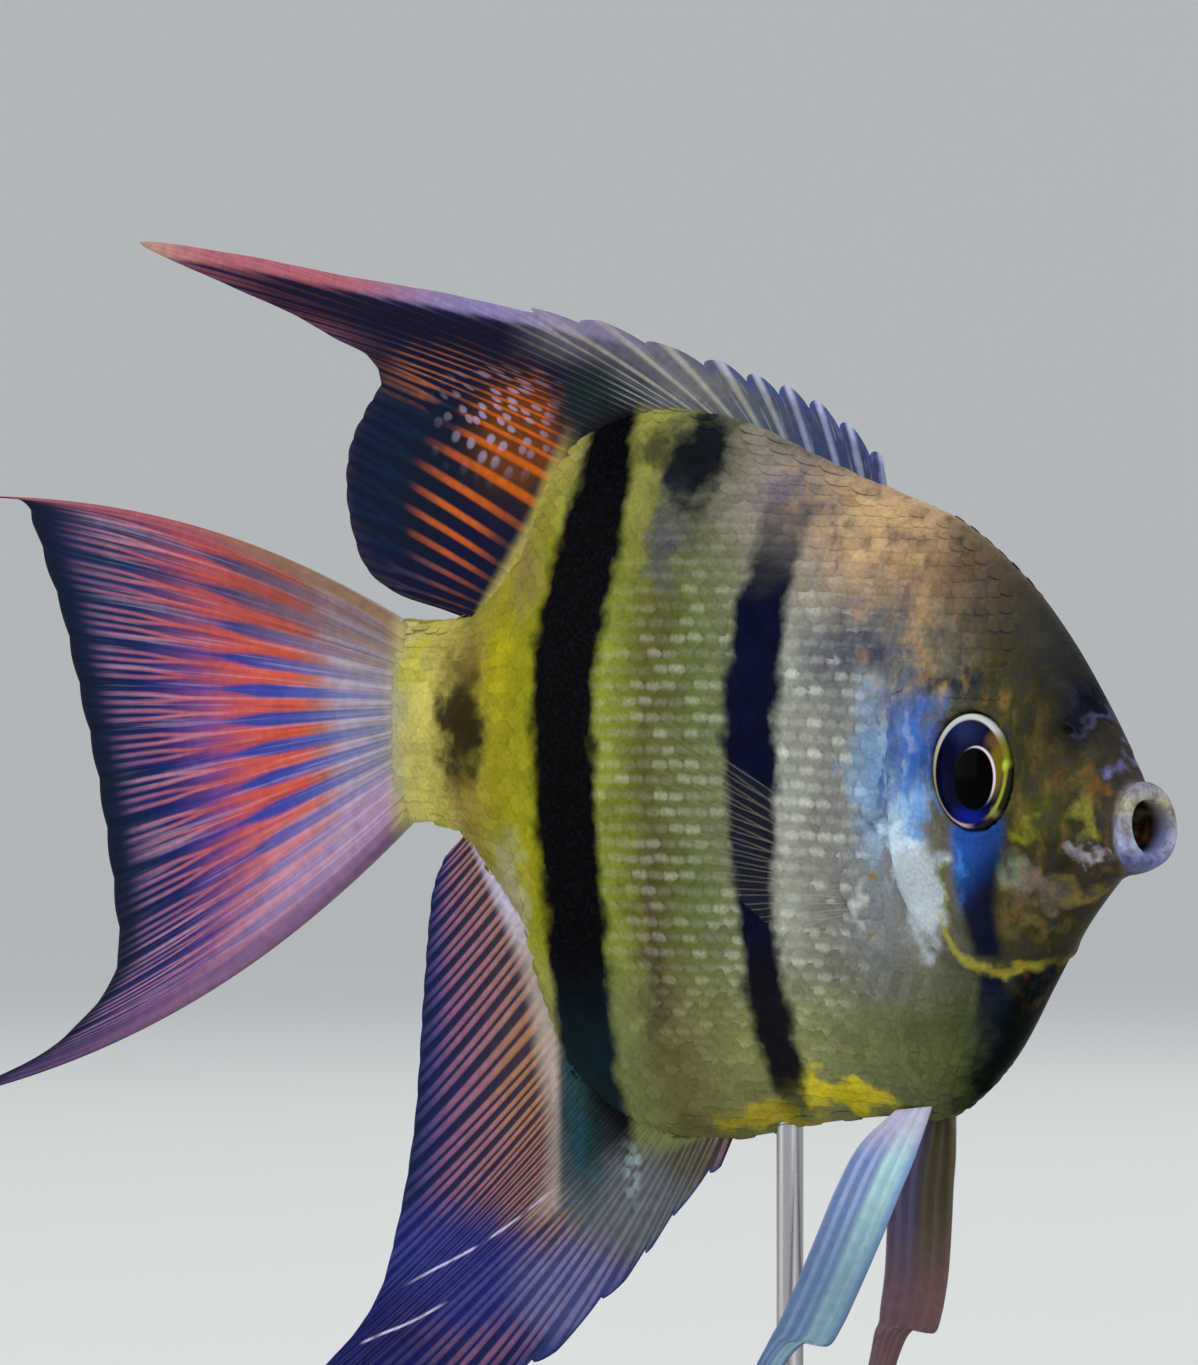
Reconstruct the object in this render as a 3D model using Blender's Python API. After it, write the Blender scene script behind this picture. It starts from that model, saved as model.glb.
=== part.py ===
"""A freshwater angelfish at life size, turning its head to its right, held up on a plain stand.

Sizes are in millimetres in the fish's own frame: x runs forward from the stand's rod, y to the fish's
left and z up from the middle of the tail stalk. to_scene() turns them into the scene's metres.
The fish is modelled straight, as whole lofts and plates, parted by thin cuts and bent at the end.
"""

import math

import bmesh
import bpy
import numpy as np

MM = 0.001  # one millimetre, in metres
GAP = 0.3  # clearance between two pieces that touch in life
SWIM_HEIGHT = 80.0  # the tail stalk's middle above the floor

# The turn of the body: the head and, more gently, the tail curve towards the fish's right side.
HEAD_TURN_FROM, HEAD_TURN = -4.0, 0.0026
TAIL_TURN_FROM, TAIL_TURN = -24.0, 0.0012

# Body stations from the tail base to the inside of the mouth. Each joins a point of the back to a point
# of the belly: back x, back z, belly x, belly z, half width, level of the widest place, fullness.
BODY_STATIONS = [
    (-36.5, 7.8, -36.5, -7.8, 1.4, 0.50, 1.00),
    (-32.8, 7.8, -33.0, -7.7, 2.1, 0.50, 1.00),
    (-29.2, 8.6, -29.8, -8.9, 2.8, 0.50, 1.05),
    (-26.0, 11.2, -26.0, -13.0, 3.5, 0.52, 1.10),
    (-23.0, 15.2, -22.6, -17.8, 4.2, 0.53, 1.15),
    (-20.6, 19.8, -20.8, -23.4, 4.7, 0.54, 1.15),
    (-16.8, 22.7, -17.4, -28.1, 5.1, 0.55, 1.15),
    (-10.4, 23.9, -10.6, -31.0, 5.5, 0.55, 1.15),
    (-3.8, 22.8, -3.8, -30.7, 5.9, 0.55, 1.15),
    (3.6, 19.9, 3.4, -29.4, 6.1, 0.56, 1.15),
    (10.0, 17.3, 9.4, -28.7, 6.1, 0.57, 1.12),
    (16.2, 14.9, 15.2, -28.5, 5.8, 0.58, 1.08),
    (21.8, 10.9, 20.2, -24.9, 5.2, 0.58, 1.02),
    (25.6, 7.0, 24.0, -19.5, 4.5, 0.57, 0.98),
    (28.8, 2.8, 27.2, -14.9, 3.8, 0.55, 0.95),
    (31.0, -0.5, 30.2, -11.6, 3.2, 0.50, 0.95),
]
# The pushed-out mouth goes on from there: the snout's end, the round lips, and the open mouth's inside.
MOUTH_STATIONS = [
    (32.4, -2.5, 32.0, -10.7, 3.05, 0.50, 0.95),
    (33.2, -3.6, 33.3, -10.4, 3.15, 0.50, 1.00),
    (34.0, -4.3, 34.3, -9.9, 2.75, 0.50, 1.00),
    (33.9, -5.1, 34.1, -9.1, 2.05, 0.50, 1.00),
    (32.6, -5.2, 32.6, -8.9, 1.90, 0.50, 1.00),
    (31.8, -5.8, 31.8, -8.3, 1.30, 0.50, 1.00),
]
STATION_STEPS = 2  # loft sections from one station to the next
SECTION_POINTS = 24

# Where the body is parted into pieces.
STALK_CUT, GILL_CUT, SNOUT_CUT = -30.6, 11.0, 31.1  # x
BREAST_CUT = -18.3  # z

EYE_CENTRE = (21.6, 3.4, -3.2)
EYE_SIZE = (3.75, 2.45, 4.35)  # half sizes
GILL_COVER_INNER = 3.3  # y of the cover's inner face
GILL_COVER_EDGE = [
    (15.2, 2.6), (12.9, 1.2), (11.9, -5.0), (13.0, -11.0), (15.2, -14.8), (18.4, -16.7), (22.6, -17.3),
    (26.0, -16.4), (22.0, -15.4), (18.6, -13.2), (17.1, -8.6), (16.8, -3.0),
]  # x, z round one cover, from its top down the free rear edge and back up the preopercle

# Fins. Each ray is a row: where it starts on the body's edge (x) and where its tip is (x, z).
DORSAL_SPINES = [
    (9.6, 8.6, 19.8), (7.8, 5.6, 22.1), (5.6, 2.7, 23.9), (3.2, -0.1, 25.1), (1.0, -3.0, 26.0),
    (-1.2, -6.3, 27.1), (-3.2, -11.3, 28.4), (-5.0, -17.4, 30.4), (-6.6, -24.0, 31.6),
]
DORSAL_SOFT = [
    (-7.2, -24.2, 31.3), (-8.4, -32.4, 33.0), (-10.0, -42.4, 34.7), (-11.6, -52.2, 36.6),
    (-13.0, -61.7, 37.9), (-14.4, -53.2, 34.2), (-16.0, -47.3, 31.9), (-17.8, -43.0, 29.8),
    (-19.4, -39.9, 28.4), (-20.8, -38.6, 26.4), (-22.4, -39.9, 24.4), (-24.2, -41.4, 21.8),
    (-25.8, -41.9, 18.8), (-27.2, -41.4, 15.2), (-28.2, -39.8, 11.8), (-28.9, -36.2, 9.7),
    (-29.4, -31.6, 8.9),
]
ANAL_SPINES = [
    (-4.6, -6.3, -32.9), (-5.8, -10.3, -36.4), (-7.0, -12.9, -39.4), (-8.0, -15.4, -42.0),
    (-9.0, -21.7, -47.5), (-10.0, -28.8, -52.0),
]
ANAL_SOFT = [
    (-10.6, -29.0, -51.7), (-11.4, -39.0, -56.8), (-12.2, -52.0, -62.5), (-13.0, -64.6, -67.2),
    (-14.0, -56.0, -60.6), (-15.0, -49.8, -55.0), (-16.0, -44.4, -50.2), (-17.2, -40.8, -46.8),
    (-18.4, -38.5, -43.4), (-19.6, -37.2, -39.4), (-20.5, -36.1, -35.0), (-21.1, -35.3, -30.4),
    (-21.8, -34.9, -26.2), (-23.2, -34.6, -22.2), (-24.8, -34.3, -18.8), (-26.6, -34.0, -15.6),
    (-28.4, -33.5, -12.6), (-30.0, -32.4, -10.2),
]
DORSAL_STREAMER_CUT, ANAL_STREAMER_CUT = -45.0, -43.5  # x where each soft fin's streamer starts
FIN_BOW = 0.03  # how far a long ray bends from straight, as a share of its length
SPINE_NOTCH = 1.1  # how far the web falls short of the spines' tips between two of them
FIN_ROOT, FIN_EDGE = 0.55, 0.27  # half thickness of the upright fins at the body and at the margin

TAIL_TIPS = [
    (-81.0, 18.0), (-73.6, 17.8), (-71.9, 15.6), (-70.6, 12.2), (-69.2, 8.6), (-68.2, 5.0), (-67.2, 1.2),
    (-66.2, -2.6), (-65.4, -6.4), (-64.7, -10.4), (-64.1, -14.4), (-63.8, -18.0), (-64.8, -20.9),
    (-67.6, -23.8), (-71.6, -26.6), (-80.0, -30.2),
]  # x, z of the tail fin's ray tips from the upper streamer to the lower one
TAIL_BOW = 0.13
TAIL_CUT = -72.6  # x, between the fan and its two streamers

PECTORAL_ROOTS = [(11.2, -10.4), (11.5, -13.6)]  # x, z of the upper and lower ends of the base
PECTORAL_TIPS = [(-5.8, 1.2), (-6.3, -2.4), (-4.6, -6.6), (-1.0, -10.2), (3.2, -13.4), (6.6, -15.6)]
PECTORAL_OUT = (6.5, 9.2)  # y at the base and at the tips

# Pelvic fins: x, z of the leading edge, x, z of the trailing edge, and y, from the breast to the tip.
PELVIC_ROWS = [
    (14.4, -28.3, 11.0, -28.7, 1.75),
    (13.6, -31.2, 8.4, -30.6, 2.6),
    (12.8, -33.8, 6.8, -33.8, 3.4),
    (11.8, -37.2, 5.8, -37.2, 4.5),
    (10.7, -40.6, 4.8, -40.6, 5.6),
    (9.5, -43.6, 3.8, -43.4, 6.4),
    (8.5, -45.0, 3.4, -44.4, 6.8),
    (6.7, -44.8, 2.9, -45.3, 6.9),
    (4.8, -46.8, 2.0, -47.4, 7.5),
    (1.2, -54.0, -0.9, -54.6, 9.0),
    (-3.2, -61.2, -4.5, -61.8, 10.1),
    (-7.4, -66.6, -8.0, -67.0, 10.6),
]
PELVIC_HALF = (0.48, 0.28)  # half thickness at the breast and at the tip

BASE_SIZE = (88.0, 52.0, 7.0)
BASE_CORNER, BASE_EDGE = 10.0, 1.0
ROD_RADIUS, ROD_DEPTH = 1.0, 5.5  # the rod goes that far up into the belly
COLLAR_RADIUS, COLLAR_HEIGHT = 3.2, 3.6

COLOURS = {
    "flesh": ((0.36, 0.36, 0.20, 1.0), 0.35),
    "fin": ((0.30, 0.20, 0.30, 1.0), 0.40),
    "eye": ((0.04, 0.06, 0.14, 1.0), 0.10),
    "lacquer": ((0.03, 0.03, 0.035, 1.0), 0.30),
    "steel": ((0.60, 0.60, 0.62, 1.0), 0.30),
}


def clear_scene():
    for obj in list(bpy.data.objects):
        bpy.data.objects.remove(obj)


def smooth(rows, steps):
    """Catmull-Rom curve through the rows, with the given number of steps between two of them."""
    rows = np.array(rows, float)
    padded = np.vstack([2 * rows[0] - rows[1], rows, 2 * rows[-1] - rows[-2]])
    made = []
    for a, b, c, d in zip(padded, padded[1:], padded[2:], padded[3:]):
        for i in range(steps):
            t = i / steps
            made.append(
                0.5 * (2 * b + (c - a) * t + (2 * a - 5 * b + 4 * c - d) * t**2
                       + (3 * b - a - 3 * c + d) * t**3)
            )
    return np.array(made + [rows[-1]])


def sway(x):
    """Sideways place of the fish's middle plane at x."""
    head = np.maximum(0.0, x - HEAD_TURN_FROM)
    tail = np.maximum(0.0, TAIL_TURN_FROM - x)
    return -HEAD_TURN * head**2 - TAIL_TURN * tail**2


def to_scene(obj, bent=True):
    """Bends a finished piece with the body and takes it from the fish's millimetres to metres."""
    co = np.empty(len(obj.data.vertices) * 3)
    obj.data.vertices.foreach_get("co", co)
    co = co.reshape(-1, 3)
    if bent:
        co[:, 1] += sway(co[:, 0])
        co[:, 2] += SWIM_HEIGHT
    obj.data.vertices.foreach_set("co", (co * MM).ravel())
    obj.data.update()


def material(name):
    found = bpy.data.materials.get(name)
    if found:
        return found
    colour, roughness = COLOURS[name]
    made = bpy.data.materials.new(name)
    made.use_nodes = True
    shader = made.node_tree.nodes["Principled BSDF"]
    shader.inputs["Base Color"].default_value = colour
    shader.inputs["Roughness"].default_value = roughness
    shader.inputs["Metallic"].default_value = 1.0 if name == "steel" else 0.0
    return made


def object_of(name, points, faces, finish):
    """An object from points and faces, with its faces turned outwards."""
    mesh = bpy.data.meshes.new(name)
    mesh.from_pydata([tuple(p) for p in points], [], [tuple(f) for f in faces])
    bm = bmesh.new()
    bm.from_mesh(mesh)
    bmesh.ops.remove_doubles(bm, verts=bm.verts, dist=1e-5)
    bmesh.ops.recalc_face_normals(bm, faces=bm.faces)
    bm.to_mesh(mesh)
    bm.free()
    obj = bpy.data.objects.new(name, mesh)
    bpy.context.scene.collection.objects.link(obj)
    mesh.materials.append(material(finish))
    return obj


def copy_of(obj, name):
    made = bpy.data.objects.new(name, obj.data.copy())
    bpy.context.scene.collection.objects.link(made)
    return made


def keep_side(obj, axis, place, sign):
    """Keeps what lies beyond the plane axis = place, on the side of sign, less half the gap."""
    normal = [0.0, 0.0, 0.0]
    normal[axis] = float(sign)
    point = [0.0, 0.0, 0.0]
    point[axis] = place + sign * GAP / 2
    bm = bmesh.new()
    bm.from_mesh(obj.data)
    bmesh.ops.bisect_plane(
        bm, geom=bm.verts[:] + bm.edges[:] + bm.faces[:], dist=1e-4,
        plane_co=point, plane_no=normal, clear_inner=True,
    )
    bmesh.ops.holes_fill(bm, edges=[e for e in bm.edges if e.is_boundary])
    bmesh.ops.triangulate(bm, faces=[f for f in bm.faces if len(f.verts) > 4])
    bmesh.ops.recalc_face_normals(bm, faces=bm.faces)
    bm.to_mesh(obj.data)
    bm.free()


def part(obj, names, axis, places):
    """Parts an object into named pieces by planes across one axis, from its far side to its near one."""
    ends = [None, *places, None]
    pieces = []
    for name, upper, lower in zip(names, ends, ends[1:]):
        piece = copy_of(obj, name)
        if upper is not None:
            keep_side(piece, axis, upper, -1)
        if lower is not None:
            keep_side(piece, axis, lower, 1)
        pieces.append(piece)
    bpy.data.objects.remove(obj)
    return pieces


def boolean(obj, cutter, operation):
    """Applies an exact Boolean to obj and drops the cutter."""
    modifier = obj.modifiers.new("cut", "BOOLEAN")
    modifier.operation = operation
    modifier.object = cutter
    bpy.context.view_layer.update()
    graph = bpy.context.evaluated_depsgraph_get()
    mesh = bpy.data.meshes.new_from_object(obj.evaluated_get(graph))
    obj.modifiers.clear()
    obj.data = mesh
    bpy.data.objects.remove(cutter)


def loft(name, sections, finish):
    """A closed solid through rings of points, with flat ends."""
    count = len(sections[0])
    points = [p for section in sections for p in section]
    faces = [list(range(count)), list(range(len(points) - count, len(points)))]
    for i in range(len(sections) - 1):
        for j in range(count):
            a, b = i * count + j, i * count + (j + 1) % count
            faces.append([a, b, b + count, a + count])
    return object_of(name, points, faces, finish)


def body_section(station):
    """A ring of the body: a lens that is widest at its own level."""
    back_x, back_z, belly_x, belly_z, half_width, level, fullness = station
    ring = []
    for i in range(SECTION_POINTS):
        angle = 2 * math.pi * i / SECTION_POINTS
        rise = math.sin(angle)
        share = level + (1 - level) * rise if rise > 0 else level + level * rise
        side = math.copysign(abs(math.cos(angle)) ** fullness, math.cos(angle))
        ring.append((
            belly_x + (back_x - belly_x) * share,
            half_width * side,
            belly_z + (back_z - belly_z) * share,
        ))
    return ring


def build_body():
    """The whole body as one loft, parted into tail stalk, trunk, head, breast and mouth."""
    stations = smooth(BODY_STATIONS + MOUTH_STATIONS, STATION_STEPS)
    body = loft("body", [body_section(s) for s in stations], "flesh")
    mouth, front, trunk, stalk = part(
        body, ["mouth", "front", "trunk", "tail_stalk"], 0, [SNOUT_CUT, GILL_CUT, STALK_CUT]
    )
    head, breast = part(front, ["head", "breast"], 2, [BREAST_CUT])
    return mouth, head, breast, trunk, stalk


def ellipsoid(name, centre, sizes, finish, around=20, rings=12):
    """An egg-shaped solid with its poles on the side axis."""
    points = [(centre[0], centre[1] + sign * sizes[1], centre[2]) for sign in (-1, 1)]
    faces = []
    for i in range(1, rings):
        turn = math.pi * i / rings
        for j in range(around):
            angle = 2 * math.pi * j / around
            points.append((
                centre[0] + sizes[0] * math.sin(turn) * math.cos(angle),
                centre[1] - sizes[1] * math.cos(turn),
                centre[2] + sizes[2] * math.sin(turn) * math.sin(angle),
            ))
    last = 2 + (rings - 2) * around
    for j in range(around):
        k = (j + 1) % around
        faces.append([0, 2 + j, 2 + k])
        faces.append([1, last + k, last + j])
        for i in range(rings - 2):
            a = 2 + i * around
            faces.append([a + j, a + k, a + around + k, a + around + j])
    return object_of(name, points, faces, finish)


def build_eyes(head):
    """Both eyes, each in a socket that clears it."""
    eyes = []
    for side, sign in (("right", -1), ("left", 1)):
        centre = (EYE_CENTRE[0], sign * EYE_CENTRE[1], EYE_CENTRE[2])
        socket = ellipsoid("socket", centre, [s + GAP for s in EYE_SIZE], "eye")
        boolean(head, socket, "DIFFERENCE")
        eyes.append(ellipsoid(f"eye_{side}", centre, EYE_SIZE, "eye"))
    return eyes


def prism(name, outline, y_from, y_to):
    """A side-on outline made solid from y_from to y_to."""
    count = len(outline)
    points = [(x, y, z) for y in (y_from, y_to) for x, z in outline]
    faces = [list(range(count)), list(range(count, 2 * count))]
    faces += [[i, (i + 1) % count, count + (i + 1) % count, count + i] for i in range(count)]
    return object_of(name, points, faces, "flesh")


def moved_outwards(outline, distance):
    """A closed outline with each point moved along its normal, away from the middle."""
    points = np.array(outline)
    along = np.roll(points, -1, 0) - np.roll(points, 1, 0)
    normals = np.stack([along[:, 1], -along[:, 0]], 1)
    normals /= np.linalg.norm(normals, axis=1)[:, None]
    turned = np.roll(points, -1, 0)
    area = (points[:, 0] * turned[:, 1] - turned[:, 0] * points[:, 1]).sum()
    return points + normals * distance * math.copysign(1, area)


def build_gill_covers(head):
    """A cover on each side of the head, parted from it by a thin cut."""
    edge = smooth(GILL_COVER_EDGE + GILL_COVER_EDGE[:1], 2)[:-1]
    covers = []
    for side, sign in (("right", -1), ("left", 1)):
        cover = copy_of(head, f"gill_cover_{side}")
        inner = sign * GILL_COVER_INNER
        boolean(cover, prism("keep", moved_outwards(edge, -GAP / 2), inner, sign * 12), "INTERSECT")
        covers.append(cover)
    for sign in (-1, 1):
        inner = sign * (GILL_COVER_INNER - GAP)
        boolean(head, prism("cut", moved_outwards(edge, GAP / 2), inner, sign * 12), "DIFFERENCE")
    return covers


def plate(name, middle, half, finish="fin"):
    """A thin solid from a grid of middle points and the half thickness at each."""
    rows, columns = middle.shape[:2]
    across = np.zeros_like(middle)
    across[..., 1] = half
    sides = np.concatenate([(middle - across).reshape(-1, 3), (middle + across).reshape(-1, 3)])
    far = rows * columns
    faces = []
    for i in range(rows - 1):
        for j in range(columns - 1):
            a = i * columns + j
            quad = [a, a + 1, a + columns + 1, a + columns]
            faces += [quad, [far + v for v in quad[::-1]]]
    rim = [j for j in range(columns)]
    rim += [i * columns + columns - 1 for i in range(1, rows)]
    rim += [(rows - 1) * columns + j for j in range(columns - 2, -1, -1)]
    rim += [i * columns for i in range(rows - 2, 0, -1)]
    for a, b in zip(rim, rim[1:] + rim[:1]):
        faces.append([a, far + a, far + b, b])
    return object_of(name, sides, faces, finish)


def bowed(root, tip, bow, steps):
    """Points from a ray's root to its tip along a curve that swells to the side of bow."""
    root, tip = np.array(root), np.array(tip)
    along = tip - root
    middle = (root + tip) / 2 + bow * np.array([along[1], -along[0]])
    t = np.linspace(0, 1, steps)[:, None]
    return (1 - t) ** 2 * root + 2 * t * (1 - t) * middle + t**2 * tip


def body_edge(x, upper):
    """Height of the body's outline at x, on the back or the belly."""
    edge = smooth(BODY_STATIONS, STATION_STEPS)
    columns = (0, 1) if upper else (2, 3)
    return float(np.interp(x, edge[:, columns[0]], edge[:, columns[1]]))


def outward(x, upper):
    """Unit direction out of the body's outline at x."""
    step = 0.4
    rise = (body_edge(x + step, upper) - body_edge(x - step, upper)) / (2 * step)
    length = math.hypot(rise, 1.0)
    return (-rise / length, 1 / length) if upper else (rise / length, -1 / length)


def upright_ray(root_x, tip, upper, short):
    """One ray of the dorsal or anal fin, from just off the body's edge to short of its tip."""
    steps = 9
    out = outward(root_x, upper)
    lift = GAP + 0.05
    root = (root_x + out[0] * lift, body_edge(root_x, upper) + out[1] * lift)
    length = math.dist(root, tip)
    bow = math.copysign(FIN_BOW, 1 if upper else -1) * min(1.0, length / 30)
    curve = bowed(root, tip, bow, steps)
    curve = curve[0] + (curve - curve[0]) * (1 - short / length)
    return [(x, 0.0, z) for x, z in curve]


def upright_fin(name, rays, upper, spiny=False):
    """A row of rays joined by a web, which dips between spines."""
    grid = []
    for ray, after in zip(rays, rays[1:] + [None]):
        grid.append(upright_ray(ray[0], ray[1:], upper, 0.0))
        if spiny and after:
            between = [(a + b) / 2 for a, b in zip(ray, after)]
            grid.append(upright_ray(between[0], between[1:], upper, SPINE_NOTCH))
    half = np.linspace(FIN_ROOT, FIN_EDGE, len(grid[0])) * np.ones((len(grid), 1))
    return plate(name, np.array(grid), half)


def build_upright_fins():
    """Dorsal and anal fins, each in three pieces: its spines, its soft fin and its streamer."""
    pieces = [
        upright_fin("dorsal_fin_spines", DORSAL_SPINES, True, spiny=True),
        upright_fin("anal_fin_spines", ANAL_SPINES, False, spiny=True),
    ]
    for name, rays, upper, cut in (
        ("dorsal", DORSAL_SOFT, True, DORSAL_STREAMER_CUT),
        ("anal", ANAL_SOFT, False, ANAL_STREAMER_CUT),
    ):
        soft = upright_fin(f"{name}_soft", rays, upper)
        pieces += part(soft, [f"{name}_fin", f"{name}_streamer"], 0, [cut])
    return pieces


def build_tail_fin():
    """The tail fin's fan of rays, with its two streamers parted from it."""
    steps = 9
    half_base = BODY_STATIONS[0][1] - 0.2
    root_x = BODY_STATIONS[0][0] - GAP - 0.05
    grid, half = [], []
    for i, tip in enumerate(TAIL_TIPS):
        share = 1 - 2 * i / (len(TAIL_TIPS) - 1)
        root = (root_x, half_base * share)
        curve = bowed(root, tip, TAIL_BOW * share**3, steps)
        grid.append([(x, 0.0, z) for x, z in curve])
        half.append(np.linspace(0.95, FIN_EDGE, steps))
    fin = plate("tail", np.array(grid), np.array(half))
    fan, streamers = part(fin, ["tail_fin", "streamers"], 0, [TAIL_CUT])
    upper, lower = part(streamers, ["tail_streamer_upper", "tail_streamer_lower"], 2, [0.0])
    return [fan, upper, lower]


def build_pectoral_fins():
    """The two clear side fins, each a fan that stands off the flank."""
    steps = 6
    tips = smooth(PECTORAL_TIPS, 2)
    pieces = []
    for side, sign in (("right", -1), ("left", 1)):
        grid = []
        for i, tip in enumerate(tips):
            share = i / (len(tips) - 1)
            root = np.array(PECTORAL_ROOTS[0]) * (1 - share) + np.array(PECTORAL_ROOTS[1]) * share
            out = np.linspace(*PECTORAL_OUT, steps)
            curve = bowed(root, tip, 0.03, steps)
            grid.append([(x, sign * y, z) for (x, z), y in zip(curve, out)])
        half = np.tile(np.linspace(0.40, 0.26, steps), (len(tips), 1))
        pieces.append(plate(f"pectoral_fin_{side}", np.array(grid), half))
    return pieces


def build_pelvic_fins():
    """The two long feelers under the breast: blades with a short branch in front, then a thread."""
    pieces = []
    for side, sign in (("right", -1), ("left", 1)):
        grid = []
        for lead_x, lead_z, trail_x, trail_z, y in PELVIC_ROWS:
            share = np.linspace(0, 1, 4)[:, None]
            lead, trail = np.array((lead_x, sign * y, lead_z)), np.array((trail_x, sign * y, trail_z))
            grid.append(lead * (1 - share) + trail * share)
        half = np.linspace(*PELVIC_HALF, len(grid))[:, None] * np.ones(4)
        pieces.append(plate(f"pelvic_fin_{side}", np.array(grid), half))
    return pieces


def turned(name, profile, finish, around=40):
    """A solid turned round the z axis from a closed profile of radius and height."""
    points, faces = [], []
    count = len(profile)
    for i in range(around):
        angle = 2 * math.pi * i / around
        points += [(r * math.cos(angle), r * math.sin(angle), z) for r, z in profile]
    for i in range(around):
        for j in range(count):
            a, b = i * count + j, i * count + (j + 1) % count
            c, d = (a + count) % len(points), (b + count) % len(points)
            faces.append([a, b, d, c])
    return object_of(name, points, faces, finish)


def rod(name, radius, bottom, top, around=24):
    ring = [(radius * math.cos(2 * math.pi * i / around), radius * math.sin(2 * math.pi * i / around))
            for i in range(around)]
    return loft(name, [[(x, y, z) for x, y in ring] for z in (bottom, top)], "steel")


def build_stand(trunk):
    """A lacquered slab, a steel rod up into the belly and the collar at its foot."""
    length, width, height = BASE_SIZE
    outline = []
    for corner, (sx, sy) in enumerate(((1, 1), (-1, 1), (-1, -1), (1, -1))):
        for i in range(7):
            angle = math.pi / 2 * (corner + i / 6)
            outline.append((
                sx * (length / 2 - BASE_CORNER) + BASE_CORNER * math.cos(angle),
                sy * (width / 2 - BASE_CORNER) + BASE_CORNER * math.sin(angle),
            ))
    shrink = 1 - 2 * BASE_EDGE / width
    levels = [(1.0, 0.0), (1.0, height - BASE_EDGE), (shrink, height)]
    base = loft("stand_base", [[(x * s, y * s, z) for x, y in outline] for s, z in levels], "lacquer")
    inner = ROD_RADIUS + GAP
    collar = turned("stand_collar", [
        (inner, height + GAP), (COLLAR_RADIUS, height + GAP),
        (COLLAR_RADIUS, height + COLLAR_HEIGHT - 1), (COLLAR_RADIUS - 1, height + COLLAR_HEIGHT),
        (inner, height + COLLAR_HEIGHT),
    ], "steel")
    belly = SWIM_HEIGHT + body_edge(0.0, False)
    post = rod("stand_rod", ROD_RADIUS, height + GAP, belly + ROD_DEPTH - GAP)
    hole = rod("hole", inner, body_edge(0.0, False) - 5, body_edge(0.0, False) + ROD_DEPTH)
    boolean(trunk, hole, "DIFFERENCE")
    return [base, collar, post]


def main():
    clear_scene()
    mouth, head, breast, trunk, stalk = build_body()
    covers = build_gill_covers(head)
    eyes = build_eyes(head)
    stand = build_stand(trunk)
    fish = [mouth, head, breast, trunk, stalk, *covers, *eyes]
    fish += build_upright_fins() + build_tail_fin() + build_pectoral_fins() + build_pelvic_fins()
    for obj in fish:
        to_scene(obj)
    for obj in stand:
        to_scene(obj, bent=False)
    for obj in fish + stand:
        obj.data.shade_smooth()
        obj.data.set_sharp_from_angle(angle=math.radians(35))


main()
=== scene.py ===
"""A freshwater angelfish at life size, held over a lacquered base by a thin steel rod.

Lengths are in millimetres in the fish's own frame, as the solids have them: x runs forward from the
rod, y to the fish's left and z up from the middle of the tail stalk. bent() takes them to the scene.
"""

import math

import bmesh
import bpy
import numpy as np
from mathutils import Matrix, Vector
from mathutils.bvhtree import BVHTree


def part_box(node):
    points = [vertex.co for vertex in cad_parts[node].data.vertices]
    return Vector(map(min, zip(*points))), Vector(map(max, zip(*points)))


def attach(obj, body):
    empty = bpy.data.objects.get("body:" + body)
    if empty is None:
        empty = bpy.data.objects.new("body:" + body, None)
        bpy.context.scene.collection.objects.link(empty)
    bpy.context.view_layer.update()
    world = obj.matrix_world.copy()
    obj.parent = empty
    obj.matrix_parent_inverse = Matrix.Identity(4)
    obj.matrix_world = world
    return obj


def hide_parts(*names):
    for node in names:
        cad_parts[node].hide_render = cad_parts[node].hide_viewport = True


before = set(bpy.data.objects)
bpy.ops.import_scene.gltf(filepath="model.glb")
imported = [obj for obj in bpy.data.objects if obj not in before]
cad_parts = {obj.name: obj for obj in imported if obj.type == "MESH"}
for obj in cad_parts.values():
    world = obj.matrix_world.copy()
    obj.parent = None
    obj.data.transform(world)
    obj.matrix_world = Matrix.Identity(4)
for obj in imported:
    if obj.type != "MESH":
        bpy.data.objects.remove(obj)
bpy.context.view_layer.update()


# ---- The place of the fish --------------------------------------------------------------------------
# The body turns its head, and more gently its tail, to its right. The rod and the eye's solid say
# where the fish hangs over the base.

eye_low, eye_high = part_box("eye_right")
rod_low, rod_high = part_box("stand_rod")
side_names = {-1: "right", 1: "left"}  # by the sign of y
EYE = (20.55, 3.4, -3.2)  # the eyes' middles, one on either side
EYE_LEAN = math.radians(8)  # how far their long axis leans back
ROD_X = (rod_low.x + rod_high.x) / 2
SWIM_HEIGHT = (eye_low.z + eye_high.z) / 2 - EYE[2] / 1000


def sway(x):
    """Sideways place of the body's middle plane."""
    return -0.0026 * np.maximum(0.0, x + 4.0) ** 2 - 0.0012 * np.maximum(0.0, -24.0 - x) ** 2


def bent(points):
    """Fish millimetres to scene metres, with the body's turn."""
    points = np.asarray(points, float)
    made = points / 1000
    made[..., 1] += sway(points[..., 0]) / 1000
    made[..., 0] += ROD_X
    made[..., 2] += SWIM_HEIGHT
    return made


# ---- Stage, lights and camera -----------------------------------------------------------------------
# A pale floor that sweeps up gently far behind, under open soft light, so that no edge shows. The
# camera stands level with the fish, to its right and ahead of it.

VIEW_TURN, VIEW_DISTANCE = math.radians(37), 0.550
FRAME_HEIGHT = 0.1010  # what the view takes in at the rod
AIM_BACK, AIM_UP = 0.01413, 0.00315  # from the rod's place in the body, in metres


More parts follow.
